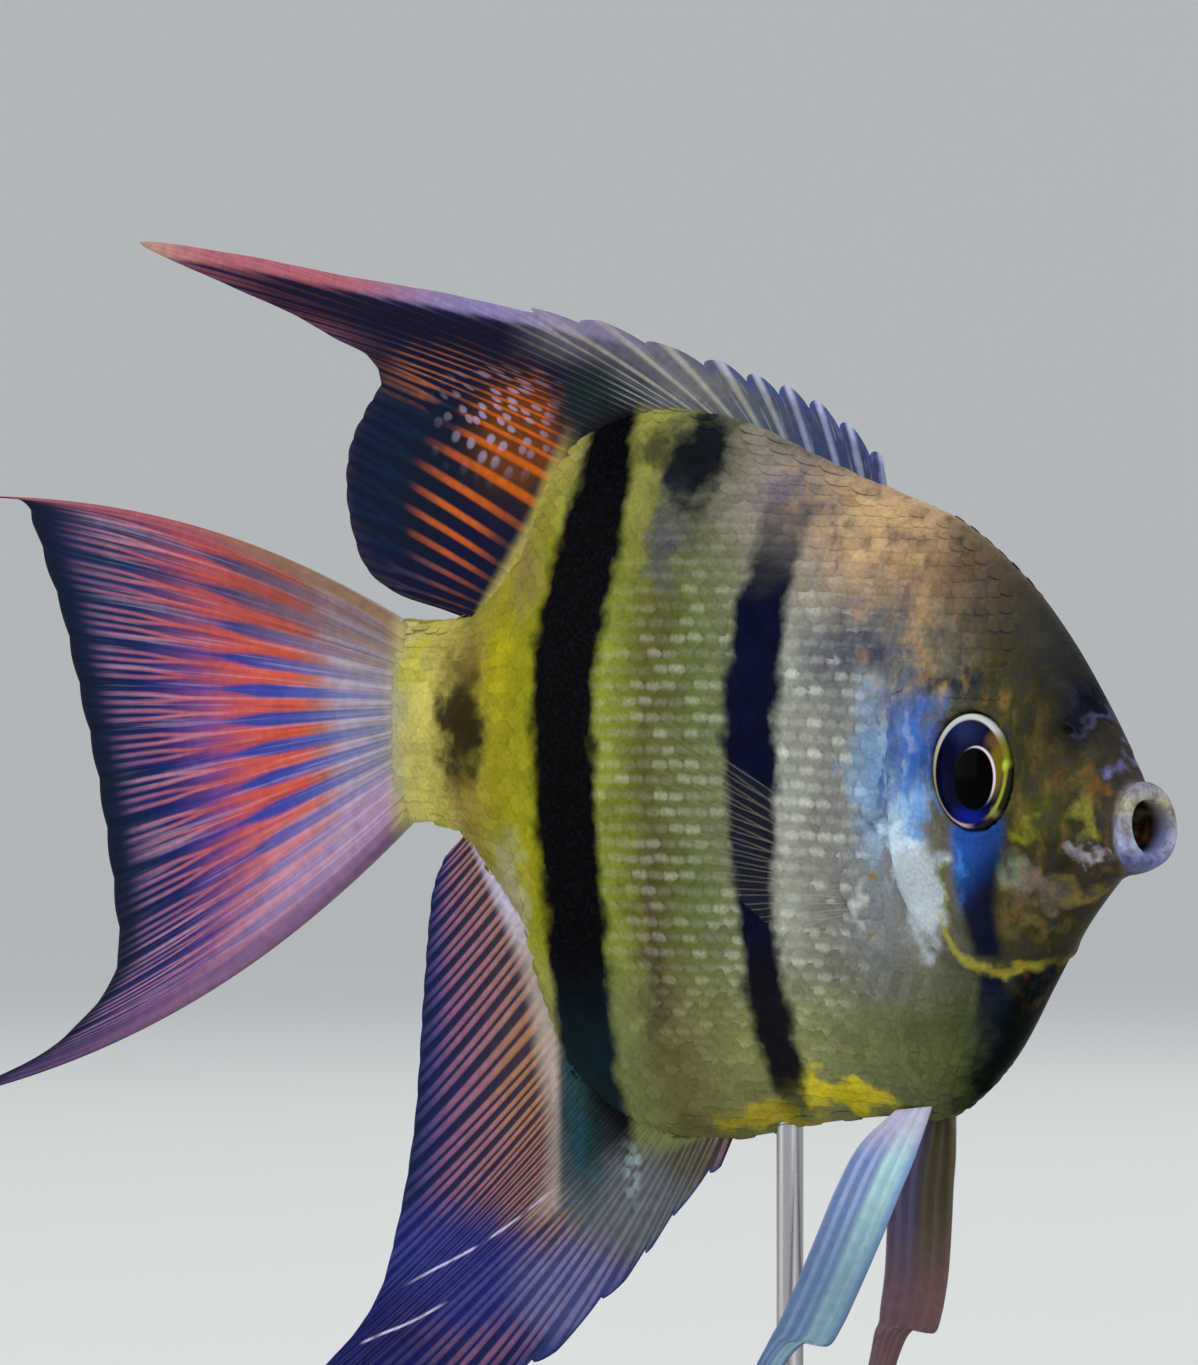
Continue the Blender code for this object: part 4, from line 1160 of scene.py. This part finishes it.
web_colour = daub(tree, web_colour, loose_here, (
    (-36.0, 19.5, 8.0, 10.0, 0.5, "010e24", 1.0),  # navy hind lobe
    (-26.0, 21.5, 6.4, 7.4, 0.6, "2a1c10", 0.9),
    (-16.5, 25.0, 5.5, 4.5, 0.8, "14242c", 0.9),  # dark green over the broad bar
    (-8.0, 25.2, 5.0, 2.2, 0.9, "64655a", 0.7),
))
ray_colour = mix(tree, step(tree, depth, 0.6, 2.2), "6c6084", "34242c")
ray_colour = over(tree, ray_colour, "84847a", step(tree, x, -22.0, -12.0))
ray_colour = over(tree, ray_colour, "6c3c48", step(tree, x, -38.0, -46.0))
ray_colour = over(tree, ray_colour, "7880a0", step(tree, x, -5.0, 4.0))
ray_colour = daub(tree, ray_colour, loose_here, (
    (-35.5, 18.5, 8.5, 10.0, 0.4, "041830", 1.0),
    (-31.0, 16.0, 5.6, 7.8, 0.8, "b45420", 1.0),  # burning stripes on the hind lobe
    (-25.5, 21.0, 6.8, 7.6, 0.6, "b45410", 1.0),
    (-33.0, 27.0, 6.5, 3.2, 0.7, "8c5034", 0.9),
    (-34.0, 11.5, 5.0, 2.6, 0.8, "4c3c58", 0.35),
))
orange = patch(tree, loose_here, -24.6, 21.8, 5.8, 5.2, 0.6)
web_colour = over(tree, web_colour, "88420f", orange, 0.45)
colour = mix(tree, ray, web_colour, ray_colour)
# Rows of pale spots on the webs of the orange field.
beads = dots(tree, rays_here["Number"], times(tree, along, 13.0), 0.34)
beads = times(tree, beads, patch(tree, loose_here, -26.8, 23.2, 8.0, 5.6, 0.8))
colour = over(tree, colour, "a898b4", beads, 0.65)
under_band = times(tree, step(tree, depth, 1.1, 1.7), step(tree, depth, 4.6, 3.2))
under_band = times(tree, under_band, times(tree, step(tree, x, -22.0, -28.0), step(tree, x, -56.0, -47.0)))
colour = over(tree, colour, "05051e", under_band, 0.75)
band = times(tree, step(tree, depth, 1.4, 0.8), step(tree, x, -8.0, -20.0))
band_colour = mix(tree, step(tree, x, -30.0, -44.0), "8478a4", "a8606c")
band_colour = over(tree, band_colour, "b08a7c", step(tree, x, -54.0, -62.0))
colour = over(tree, colour, band_colour, band)
streaks = drawn_out(tree, rays_here["Number"], along, 6.0, 1.5, 1.0)
streaks = times(tree, step(tree, streaks, 0.52, 0.68), step(tree, x, -20.0, -12.0))
colour = over(tree, colour, "8c8c90", streaks, 0.4)
pale_top = times(
    tree, step(tree, depth, 4.4, 1.6), times(tree, step(tree, x, -27.0, -20.0), step(tree, x, -3.0, -9.0))
)
colour = over(tree, colour, mix(tree, ray, "6c6874", "a09a90"), pale_top, 0.55)
over_bar = patch(tree, loose_here, -18.4, 24.2, 4.4, 4.6, 0.7)
colour = over(tree, colour, mix(tree, ray, "0c1c20", "1c3030"), over_bar, 0.85)
near_body = times(tree, step(tree, along, 0.14, 0.04), step(tree, x, -19.5, -21.5))
colour = over(tree, colour, "c9b860", near_body, 0.85)
back_colour = ramp(tree, x, [
    (-30, "a89a60"), (-22, "a3964a"), (-20.2, "5c5c38"), (-18.8, "040407"), (-14.2, "040407"),
    (-13, "6c6c3c"), (-11, "5c5c40"), (-8, "1c2628"), (-4, "4c4c44"), (2, "7c7064"), (10, "a08868"),
], -32, 13)
colour = over(tree, colour, back_colour, step(tree, along, 0.12, 0.03))
tips = times(tree, step(tree, along, 0.70, 0.95), step(tree, x, -12.0, -4.0))
colour = over(tree, colour, mix(tree, ray, "3a4680", "b4bcd8"), tips, 0.65)
colour = uneven(tree, colour, where, 1.6, 0.65, 1.35)
tree.links.new(colour, dorsal_shader.inputs["Base Color"])
dorsal = upright_fin("dorsal_fin_web", DORSAL_SPINES, DORSAL_SOFT, 27, True, 0.03, dorsal_paint)
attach(dorsal, "root")
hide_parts("dorsal_fin_spines", "dorsal_fin", "dorsal_streamer")


# ---- Anal fin ---------------------------------------------------------------------------------------
# The same build as the dorsal fin and almost its mirror image: six spines, whose tips end in small
# lobes of skin, and soft rays with a streamer that hangs back below the tail.

ANAL_SPINES = [  # root x on the belly, tip x and z
    (-4.6, -6.3, -32.9), (-5.8, -10.3, -36.4), (-7.0, -12.9, -39.4), (-8.0, -15.4, -42.0),
    (-9.0, -21.7, -47.5), (-10.0, -28.8, -52.0),
]
ANAL_SOFT = [
    (-10.6, -29.0, -51.7), (-11.8, -39.0, -56.8), (-12.8, -52.0, -62.5), (-13.9, -64.6, -67.2),
    (-15.0, -56.0, -60.6), (-16.1, -49.8, -55.0), (-17.3, -44.4, -50.2), (-18.4, -40.8, -46.8),
    (-19.4, -38.5, -43.4), (-20.4, -37.2, -39.4), (-21.4, -36.1, -35.0), (-22.6, -35.3, -30.4),
    (-24.0, -34.9, -26.2), (-25.4, -34.6, -22.2), (-26.9, -34.3, -18.8), (-28.2, -34.0, -15.6),
    (-29.2, -33.5, -12.6), (-30.2, -32.4, -10.2),
]
anal_paint, anal_shader = new_material("anal fin", Roughness=0.38, Specular_IOR_Level=0.05)
tree = anal_paint.node_tree
where, x, z = fish_place(tree)
rays_here = ray_masks(tree, -1.0, 2.0, 0.12, 0.06)
ray, along = rays_here["Ray"], rays_here["Share"]
loose_here = wandering(tree, where, 0.5, 2.0)[0]
web_colour = ramp(
    tree, along, [(0.0, "6c5c64"), (0.15, "3c3038"), (0.5, "26223c"), (0.85, "101a44"), (1.0, "0a1838")]
)
ray_colour = ramp(
    tree, along,
    [
        (0.0, "a88c84"), (0.14, "9c7468"), (0.45, "94646c"), (0.72, "805474"), (0.88, "40386c"),
        (1.0, "16244c"),
    ],
)
ray_colour = daub(tree, ray_colour, loose_here, [(-24.0, -27.0, 5.0, 8.5, 0.8, "a07048", 0.8)])
for middle_x, middle_z, half_x, half_z, soft, strength, ray_code, web_code in (
    (-31.0, -42.0, 12.0, 7.0, 0.6, 0.95, "363c7a", "161f68"),  # blue streamer
    (-44.0, -52.0, 18.0, 14.0, 0.5, 0.95, "222a5e", "0c1450"),
    (-14.5, -34.5, 9.5, 8.0, 0.5, 1.0, "66696a", "4c525e"),  # grey spiny front
    (-20.0, -43.0, 8.0, 6.0, 0.7, 0.9, "6a6c98", "3e4474"),
    (-9.0, -31.6, 5.0, 4.4, 0.8, 0.95, "605c48", "403e34"),
):
    mask = patch(tree, loose_here, middle_x, middle_z, half_x, half_z, soft, strength)
    ray_colour = over(tree, ray_colour, ray_code, mask)
    web_colour = over(tree, web_colour, web_code, mask)
colour = mix(tree, ray, web_colour, ray_colour)
teal = mix(tree, noise(tree, where, 1.3), "081c24", "1c5058")
bar_mask = patch(tree, loose_here, -18.8, -27.0, 3.9, 12.0, 0.6)
colour = over(tree, colour, teal, bar_mask, 0.95)
speckle = dots(tree, times(tree, x, 0.85), times(tree, z, 0.85), 0.50)
chain = number(
    tree, "MAXIMUM", patch(tree, loose_here, -14.2, -30.5, 1.5, 7.5, 0.8),
    patch(tree, loose_here, -11.4, -27.5, 1.1, 3.5, 0.9),
)
colour = over(tree, colour, "9cb4b4", speckle, chain, 0.75)
for places in (  # two rays that catch the light
    [(-35.5, -42.9), (-33.6, -42.0), (-29.5, -40.1), (-25.8, -38.0), (-21.9, -35.4)],
    [(-41.0, -48.2), (-38.7, -47.2), (-35.5, -46.0), (-32.6, -44.6)],
):
    line_off = number(tree, "ABSOLUTE", number(tree, "SUBTRACT", z, curve(tree, x, places)))
    inside = times(
        tree, step(tree, x, places[0][0] - 1, places[0][0] + 2),
        step(tree, x, places[-1][0] + 1, places[-1][0] - 1),
    )
    glint = times(tree, step(tree, line_off, 0.17, 0.04), inside)
    glint = times(tree, glint, step(tree, noise(tree, where, 0.6, 0.0), 0.25, 0.55))
    colour = over(tree, colour, "c8c0dc", glint)
pale_base = times(tree, step(tree, along, 0.25, 0.12), step(tree, x, -20.6, -21.6))
base_colour = mix(tree, step(tree, z, -13.0, -19.0), "c8c0d8", "b4a498")
colour = over(tree, colour, base_colour, pale_base, 0.9)
front = times(tree, step(tree, along, 0.14, 0.02), step(tree, x, -20.0, -17.0))
belly_colour = ramp(tree, x, [
    (-30, "b0a860"), (-22, "7d8048"), (-20.6, "05060a"), (-14.6, "05060a"), (-13.4, "6f7544"),
    (-5, "717a3e"),
], -32, -2)
colour = over(tree, colour, belly_colour, front)
tips = times(tree, step(tree, along, 0.86, 0.99), step(tree, x, -32.0, -24.0))
colour = over(tree, colour, "2c3c74", tips, 0.7)
colour = uneven(tree, colour, where, 1.6, 0.65, 1.35)
tree.links.new(colour, anal_shader.inputs["Base Color"])
anal = upright_fin("anal_fin_web", ANAL_SPINES, ANAL_SOFT, 26, False, -0.03, anal_paint, 1.9, -1.0)
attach(anal, "root")
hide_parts("anal_fin_spines", "anal_fin", "anal_streamer")


# ---- Tail fin ---------------------------------------------------------------------------------------
# A fan of jointed rays, flame red where each is thickest, which fork twice before the margin. Its
# outer rays run on as streamers above and below.

TAIL_TIPS = [
    (-81.0, 18.0), (-73.6, 17.8), (-71.9, 15.6), (-70.6, 12.2), (-69.2, 8.6), (-68.2, 5.0), (-67.2, 1.2),
    (-66.2, -2.6), (-65.4, -6.4), (-64.7, -10.4), (-64.1, -14.4), (-63.8, -18.0), (-64.8, -20.9),
    (-67.6, -23.8), (-71.6, -26.6), (-80.0, -30.2),
]
TAIL_RAYS = 15
tail_paint, tail_shader = new_material("tail fin", Roughness=0.38, Specular_IOR_Level=0.05)
tree = tail_paint.node_tree
where, x, z = fish_place(tree)
thick = ray_masks(tree, 0.42, 0.66, 0.25, 0.09)
thin = ray_masks(tree, 0.40, 0.62, 0.045, 0.035)
along, across = thin["Share"], times(tree, thin["Number"], 1 / TAIL_RAYS)
narrowing = step(tree, along, 0.42, 0.80)
ray = mix(tree, narrowing, thick["Ray"], thin["Ray"])
fibres = drawn_out(tree, thin["Number"], along, 7.0, 2.0, 3.0)
ray_colour = ramp(tree, along, [
    (0.0, "a89c80"), (0.08, "9c94a0"), (0.20, "a898a8"), (0.27, "ac6a5c"), (0.34, "c8543c"),
    (0.58, "bc5048"), (0.76, "a05868"), (0.88, "7c5478"), (0.95, "182040"), (1.0, "101c38"),
])
web_colour = ramp(tree, along, [
    (0.0, "948c70"), (0.08, "767690"), (0.20, "6c70a0"), (0.28, "50589c"), (0.40, "3c4498"),
    (0.62, "2c328c"), (0.78, "161e58"), (0.90, "081c3c"), (1.0, "051626"),
])
web_top = ramp(
    tree, along, [(0.0, "a08c6c"), (0.25, "8c7080"), (0.5, "38346c"), (0.75, "0f2a50"), (1.0, "0a2038")]
)
web_colour = over(tree, web_colour, web_top, step(tree, across, 0.38, 0.16))
low = step(tree, across, 0.60, 0.92)
ray_colour = over(tree, ray_colour, "98708c", low, 0.7)
web_colour = over(tree, web_colour, "282058", low, 0.5)
colour = mix(tree, ray, web_colour, ray_colour)
colour = over(tree, colour, "c0a0bc", step(tree, fibres, 0.52, 0.66), step(tree, along, 0.98, 0.80), 0.30)
colour = over(tree, colour, "34306c", step(tree, fibres, 0.46, 0.34), 0.40)
top_shade = times(tree, step(tree, across, 0.32, 0.12), step(tree, along, 0.62, 0.40))
colour = over(tree, colour, "583c3c", top_shade, 0.50)
low_light = times(tree, step(tree, across, 0.62, 0.80), step(tree, along, 0.66, 0.36))
colour = over(tree, colour, "c4a0bc", low_light, 0.45)
outer_tip = times(tree, step(tree, across, 0.26, 0.10), step(tree, along, 0.78, 0.95))
colour = over(tree, colour, "181a3a", outer_tip, 0.75)
upper_edge = mix(tree, step(tree, along, 0.25, 0.6), "86664e", "a05660")
colour = over(tree, colour, upper_edge, step(tree, across, 0.085, 0.03), 0.85)
lower_edge = mix(tree, step(tree, along, 0.5, 0.95), "745478", "3c3058")
colour = over(tree, colour, lower_edge, step(tree, across, 0.90, 0.96), 0.85)
colour = over(tree, colour, "061226", step(tree, along, 0.90, 0.985), 0.8)
colour = over(tree, colour, "aaa268", step(tree, x, -37.6, -35.4))
colour = uneven(tree, colour, where, 1.2, 0.7, 1.3)
tree.links.new(colour, tail_shader.inputs["Base Color"])
rays = np.linspace(0, TAIL_RAYS, TAIL_RAYS * 16 + 1)
line = through(TAIL_TIPS, rays / TAIL_RAYS * (len(TAIL_TIPS) - 1))
share = 1 - 2 * rays / TAIL_RAYS
roots = np.stack([np.full(len(rays), -35.6), np.zeros(len(rays)), 7.55 * share], -1)
tips = np.stack([line[:, 0], np.zeros(len(rays)), line[:, 1]], -1)
long = np.linalg.norm(tips - roots, axis=1)
short = 0.22 * (1 - np.abs(np.cos(np.pi * rays)))
tips = roots + (tips - roots) * (1 - short / long)[:, None]
steps = clustered(80)
web = fin_web(roots, tips, 0.13 * share**3, steps)
ray, along = rays[:, None], steps[None]
ridge = 0.16 * (1 - 0.7 * along) * bump(split(ray, along, 0.36, 0.60), 0, 0.12)
half = (0.85 * (1 - along) ** 2.2 + 0.11 + ridge) * closing(steps, 0.02)[None]
half *= side_margin(rays)
tail = fin_sheet("tail_fin_web", web, half, rays, steps, tail_paint)
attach(tail, "root")
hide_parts("tail_fin", "tail_streamer_upper", "tail_streamer_lower")


# ---- Pectoral fins ----------------------------------------------------------------------------------
# Clear as glass, spread against the flank on either side: a dozen fine pale rays and hardly any web
# to see between them.

PECTORAL_ROOTS = [(11.2, -10.4), (11.5, -13.6)]  # x and z of the base's upper and lower ends
PECTORAL_TIPS = [(-5.8, 1.2), (-6.3, -2.4), (-4.6, -6.6), (-1.0, -10.2), (3.2, -13.4), (6.6, -15.6)]
PECTORAL_OUT = (4.9, 9.2)  # y at the base and at the tips
PECTORAL_RAYS = 14
pectoral_paint, pectoral_shader = new_material("pectoral fin", Roughness=0.3, Specular_IOR_Level=0.2)
tree = pectoral_paint.node_tree
rays_here = ray_masks(tree, 0.45, 2.0, 0.045, 0.04)
ray, along = rays_here["Ray"], rays_here["Share"]
colour = mix(tree, step(tree, along, 0.04, 0.14), "9c9070", "8e8a70")
tree.links.new(colour, pectoral_shader.inputs["Base Color"])
fade_ray = number(tree, "MULTIPLY_ADD", step(tree, along, 0.25, 0.85), -0.26, 0.36)
clear = number(tree, "MULTIPLY_ADD", times(tree, ray, fade_ray), 0.98, 0.015)
clear = number(tree, "MAXIMUM", clear, step(tree, along, 0.10, 0.03))
tree.links.new(clear, pectoral_shader.inputs["Alpha"])
for side, side_name in side_names.items():
    rays = np.linspace(0, PECTORAL_RAYS, PECTORAL_RAYS * 10 + 1)
    share = rays / PECTORAL_RAYS
    line = through(PECTORAL_TIPS, share * (len(PECTORAL_TIPS) - 1))
    base = np.array(PECTORAL_ROOTS)
    root_x, root_z = (base[0, i] + (base[1, i] - base[0, i]) * share for i in range(2))
    roots = np.stack([root_x - 0.2, np.full(len(rays), side * PECTORAL_OUT[0]), root_z], -1)
    tips = np.stack([line[:, 0], np.full(len(rays), side * PECTORAL_OUT[1]), line[:, 1]], -1)
    steps = clustered(48)
    web = fin_web(roots, tips, 0.03 * np.ones(len(rays)), steps)
    ray, along = rays[:, None], steps[None]
    ridge = 0.10 * (1 - 0.7 * along) * bump(split(ray, along, 0.5, 2.0), 0, 0.13)
    half = (0.20 * (1 - along) ** 3 + 0.05 + ridge) * closing(steps)[None]
    half *= side_margin(rays)
    pectoral = fin_sheet(f"pectoral_web_{side_name}", web, half, rays, steps, pectoral_paint)
    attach(pectoral, "root")
    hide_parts(f"pectoral_fin_{side_name}")


# ---- Pelvic fins ------------------------------------------------------------------------------------
# Long feelers under the breast: a stiff blue-white spine and a few rays bound in one blade, a short
# free branch in front, and a thread that trails on. The outer face is painted pale, as if lit, and the
# inner one brown, as if in shade.

PELVIC_DOWN, PELVIC_ACROSS = 133, 33  # points along a blade and across it
PELVIC_RAYS = 5
PELVIC_ROWS = [  # leading edge x and z, trailing edge x and z, y
    (14.4, -27.6, 11.0, -28.0, 1.5),
    (13.6, -31.2, 8.4, -30.6, 2.6),
    (12.8, -33.8, 6.8, -33.8, 3.4),
    (11.8, -37.2, 5.8, -37.2, 4.5),
    (10.7, -40.6, 4.8, -40.6, 5.6),
    (9.5, -43.6, 3.8, -43.4, 6.4),
    (8.5, -45.0, 3.4, -44.4, 6.8),
    (6.7, -44.8, 2.9, -45.3, 6.9),
    (4.8, -46.8, 2.0, -47.4, 7.5),
    (1.2, -54.0, -0.9, -54.6, 9.0),
    (-3.2, -61.2, -4.5, -61.8, 10.1),
    (-7.4, -66.6, -8.0, -67.0, 10.6),
]
pelvic_paint, pelvic_shader = new_material("pelvic fin", Roughness=0.35, Specular_IOR_Level=0.15)
tree = pelvic_paint.node_tree
where, x, z = fish_place(tree)
rays_here = ray_masks(tree, 2.0, 2.0, 0.22, 0.14)
ray, across = rays_here["Ray"], rays_here["Number"]
# The outer face's pale blue-white, painted as if lit.
outer = mix(tree, ray, "94bcc4", "a8ccd0")
outer = over(tree, outer, "7c9cc4", step(tree, across, 0.5, 0.1))
outer = over(tree, outer, mix(tree, ray, "5c6ca4", "8c9cc8"), step(tree, across, 2.0, 2.8), 0.9)
outer = over(tree, outer, "b8b0c8", step(tree, z, -32.0, -28.5), 0.8)
shaded_inner_face = mix(tree, ray, "4c4430", "5c5238")
shaded_inner_face = over(tree, shaded_inner_face, mix(tree, ray, "484464", "5c587c"), step(tree, across, 1.8, 3.2))
shaded_inner_face = over(tree, shaded_inner_face, "846468", step(tree, z, -34.0, -44.0), 0.75)
# Painted light and shade: faces turned out from the body's middle get the pale lit colour, faces turned in
# get the brown shaded one.
facing = node(tree, "ShaderNodeNewGeometry").outputs["Normal"]
side_on, y = (node(tree, "ShaderNodeSeparateXYZ", place).outputs[1] for place in (facing, where))
from_middle = times(tree, side_on, number(tree, "SIGN", y))
outer = over(tree, outer, "3c5a74", step(tree, z, -31.0, -41.0), 0.60)
colour = mix(tree, step(tree, from_middle, -0.3, 0.3), shaded_inner_face, outer)
colour = uneven(tree, colour, where, 1.5, 0.75, 1.25)
tree.links.new(colour, pelvic_shader.inputs["Base Color"])
for side, side_name in side_names.items():
    rows_down = through(PELVIC_ROWS, np.linspace(0, len(PELVIC_ROWS) - 1, PELVIC_DOWN))
    across_blade = np.linspace(0, 1, PELVIC_ACROSS)
    lead = np.stack([rows_down[:, 0], side * rows_down[:, 4], rows_down[:, 1]], -1)
    trail = np.stack([rows_down[:, 2], side * rows_down[:, 4], rows_down[:, 3]], -1)
    web = lead[None] + (trail - lead)[None] * across_blade[:, None, None]
    down = np.linspace(0, 1, PELVIC_DOWN)[None]
    rays = across_blade * PELVIC_RAYS
    ridge = 0.16 * bump(np.abs(rays - np.round(rays)), 0, 0.16)[:, None] * (1 - 0.5 * down)
    spine = 0.22 * bump(across_blade, 0.12, 0.12)[:, None] * (1 - 0.6 * down)
    half = 0.10 + 0.16 * (1 - down) + ridge * 0.6 + spine
    half = half * np.sqrt(np.clip(np.minimum(across_blade, 1 - across_blade) / 0.06, 0.03, 1))[:, None]
    half = half * np.sqrt(np.clip((1 - down) / 0.01, 0.05, 1))
    pelvic = fin_sheet(f"pelvic_blade_{side_name}", web, half, rays, down[0], pelvic_paint)
    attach(pelvic, "root")
    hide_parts(f"pelvic_fin_{side_name}")


# ---- Display stand ----------------------------------------------------------------------------------
# A flat lacquered wooden base with rounded corners, a turned steel collar screwed into its middle, and
# a thin drawn rod that goes up through the collar into the belly.

BASE_CORNER, BASE_EDGE = 10.0, 1.0
base_low, base_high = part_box("stand_base")
base_middle = (base_low + base_high) / 2
half_length, half_width, base_height = (
    (high - low) * 1000 * half for low, high, half in zip(base_low, base_high, (0.5, 0.5, 1))
)


def rounded_outline(inset, steps=14):
    """The base's outline, that far in from its edge."""
    corner = BASE_CORNER - inset
    made = []
    for quarter in range(4):
        sign_x, sign_y = ((1, 1), (-1, 1), (-1, -1), (1, -1))[quarter]
        for angle in np.linspace(quarter * math.pi / 2, (quarter + 1) * math.pi / 2, steps):
            made.append((
                sign_x * (half_length - BASE_CORNER) + corner * math.cos(angle),
                sign_y * (half_width - BASE_CORNER) + corner * math.sin(angle),
            ))
    return made


levels = [(0.4, 0.0), (0.1, 0.1), (0.0, 0.4)]
levels += [
    (
        BASE_EDGE * (1 - math.cos(a)), base_height - BASE_EDGE * (1 - math.sin(a))
    ) for a in np.linspace(0, math.pi / 2, 9)
]
base_points, base_faces = [], []
for inset, height in levels:
    base_points += [(px, py, height) for px, py in rounded_outline(inset)]
count = len(base_points) // len(levels)
for level in range(len(levels) - 1):
    for i in range(count):
        a, b = level * count + i, level * count + (i + 1) % count
        base_faces.append((a, b, b + count, a + count))
base_faces.append(tuple(range(count))[::-1])
base_faces.append(tuple(range((len(levels) - 1) * count, len(levels) * count)))
lacquer_paint, lacquer_shader = new_material(
    "black lacquer", Specular_IOR_Level=0.5, Coat_Weight=0.6, Coat_Roughness=0.06
)
tree = lacquer_paint.node_tree
where = node(tree, "ShaderNodeTexCoord").outputs["Object"]
stretched = vector(tree, "MULTIPLY", where, (60, 900, 900))
grain = noise(tree, stretched, 1.0, 5.0, 0.6)
colour = mix(tree, step(tree, grain, 0.35, 0.7), "120d0a", "2c1d14")
tree.links.new(colour, lacquer_shader.inputs["Base Color"])
tree.links.new(
    number(tree, "MULTIPLY_ADD", noise(tree, where, 180.0, 4.0), 0.16, 0.20),
    lacquer_shader.inputs["Roughness"],
)
roughen(tree, lacquer_shader, grain, 0.06, 0.0002)
base = piece(
    "stand_board",
    [
        (base_middle.x + px / 1000, base_middle.y + py / 1000, base_low.z + pz / 1000)
        for px, py, pz in base_points
    ],
    base_faces, lacquer_paint,
)
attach(base, "root")
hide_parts("stand_base")

collar_low, collar_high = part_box("stand_collar")
collar_radius, collar_height = (collar_high.x - collar_low.x) * 500, (collar_high.z - collar_low.z) * 1000
rod_radius, rod_height = (rod_high.x - rod_low.x) * 500, (rod_high.z - rod_low.z) * 1000
collar_profile = [
    (rod_radius * 1.02, 0.0), (collar_radius - 0.25, 0.0), (collar_radius, 0.25), (collar_radius, 1.15),
    (collar_radius - 0.22, 1.30), (collar_radius - 0.22, 1.50), (collar_radius, 1.65),
    (collar_radius, collar_height - 1.0), (collar_radius - 0.30, collar_height - 0.35),
    (collar_radius - 1.0, collar_height), (rod_radius * 1.02, collar_height),
]
rod_profile = [
    (rod_radius - 0.1, 0.0), (rod_radius, 0.1), (rod_radius, rod_height - 0.2),
    (rod_radius - 0.2, rod_height),
]
steel_paint, steel_shader = new_material("turned steel", Metallic=1.0)
tree = steel_paint.node_tree
where = node(tree, "ShaderNodeTexCoord").outputs["Object"]
rings = vector(tree, "MULTIPLY", where, (250, 250, 9000))
tool_marks = noise(tree, rings, 1.0, 3.0)
tree.links.new(mix(tree, tool_marks, "a4a4a6", "b8b8ba"), steel_shader.inputs["Base Color"])
tree.links.new(number(tree, "MULTIPLY_ADD", tool_marks, 0.10, 0.28), steel_shader.inputs["Roughness"])
roughen(tree, steel_shader, tool_marks, 0.02, 0.00005)
for name, profile, low, around, solid in (
    ("stand_ferrule", collar_profile, collar_low.z, 64, "stand_collar"),
    ("stand_post", rod_profile, rod_low.z, 40, "stand_rod"),
):
    points, faces = lathe(profile, around)
    count = len(profile)
    starts = [i * count for i in range(around)]
    if solid == "stand_collar":  # closed on its bore
        for a, b in zip(starts, starts[1:] + starts[:1]):
            faces.append((a + count - 1, b + count - 1, b, a))
    else:
        faces += [tuple(starts)[::-1], tuple(a + count - 1 for a in starts)]
    points = points / 1000 + np.array([ROD_X, (rod_low.y + rod_high.y) / 2, low])
    metal = piece(name, points, faces, steel_paint)
    metal.data.set_sharp_from_angle(angle=math.radians(32))
    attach(metal, "root")
    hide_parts(solid)
base.data.set_sharp_from_angle(angle=math.radians(50))
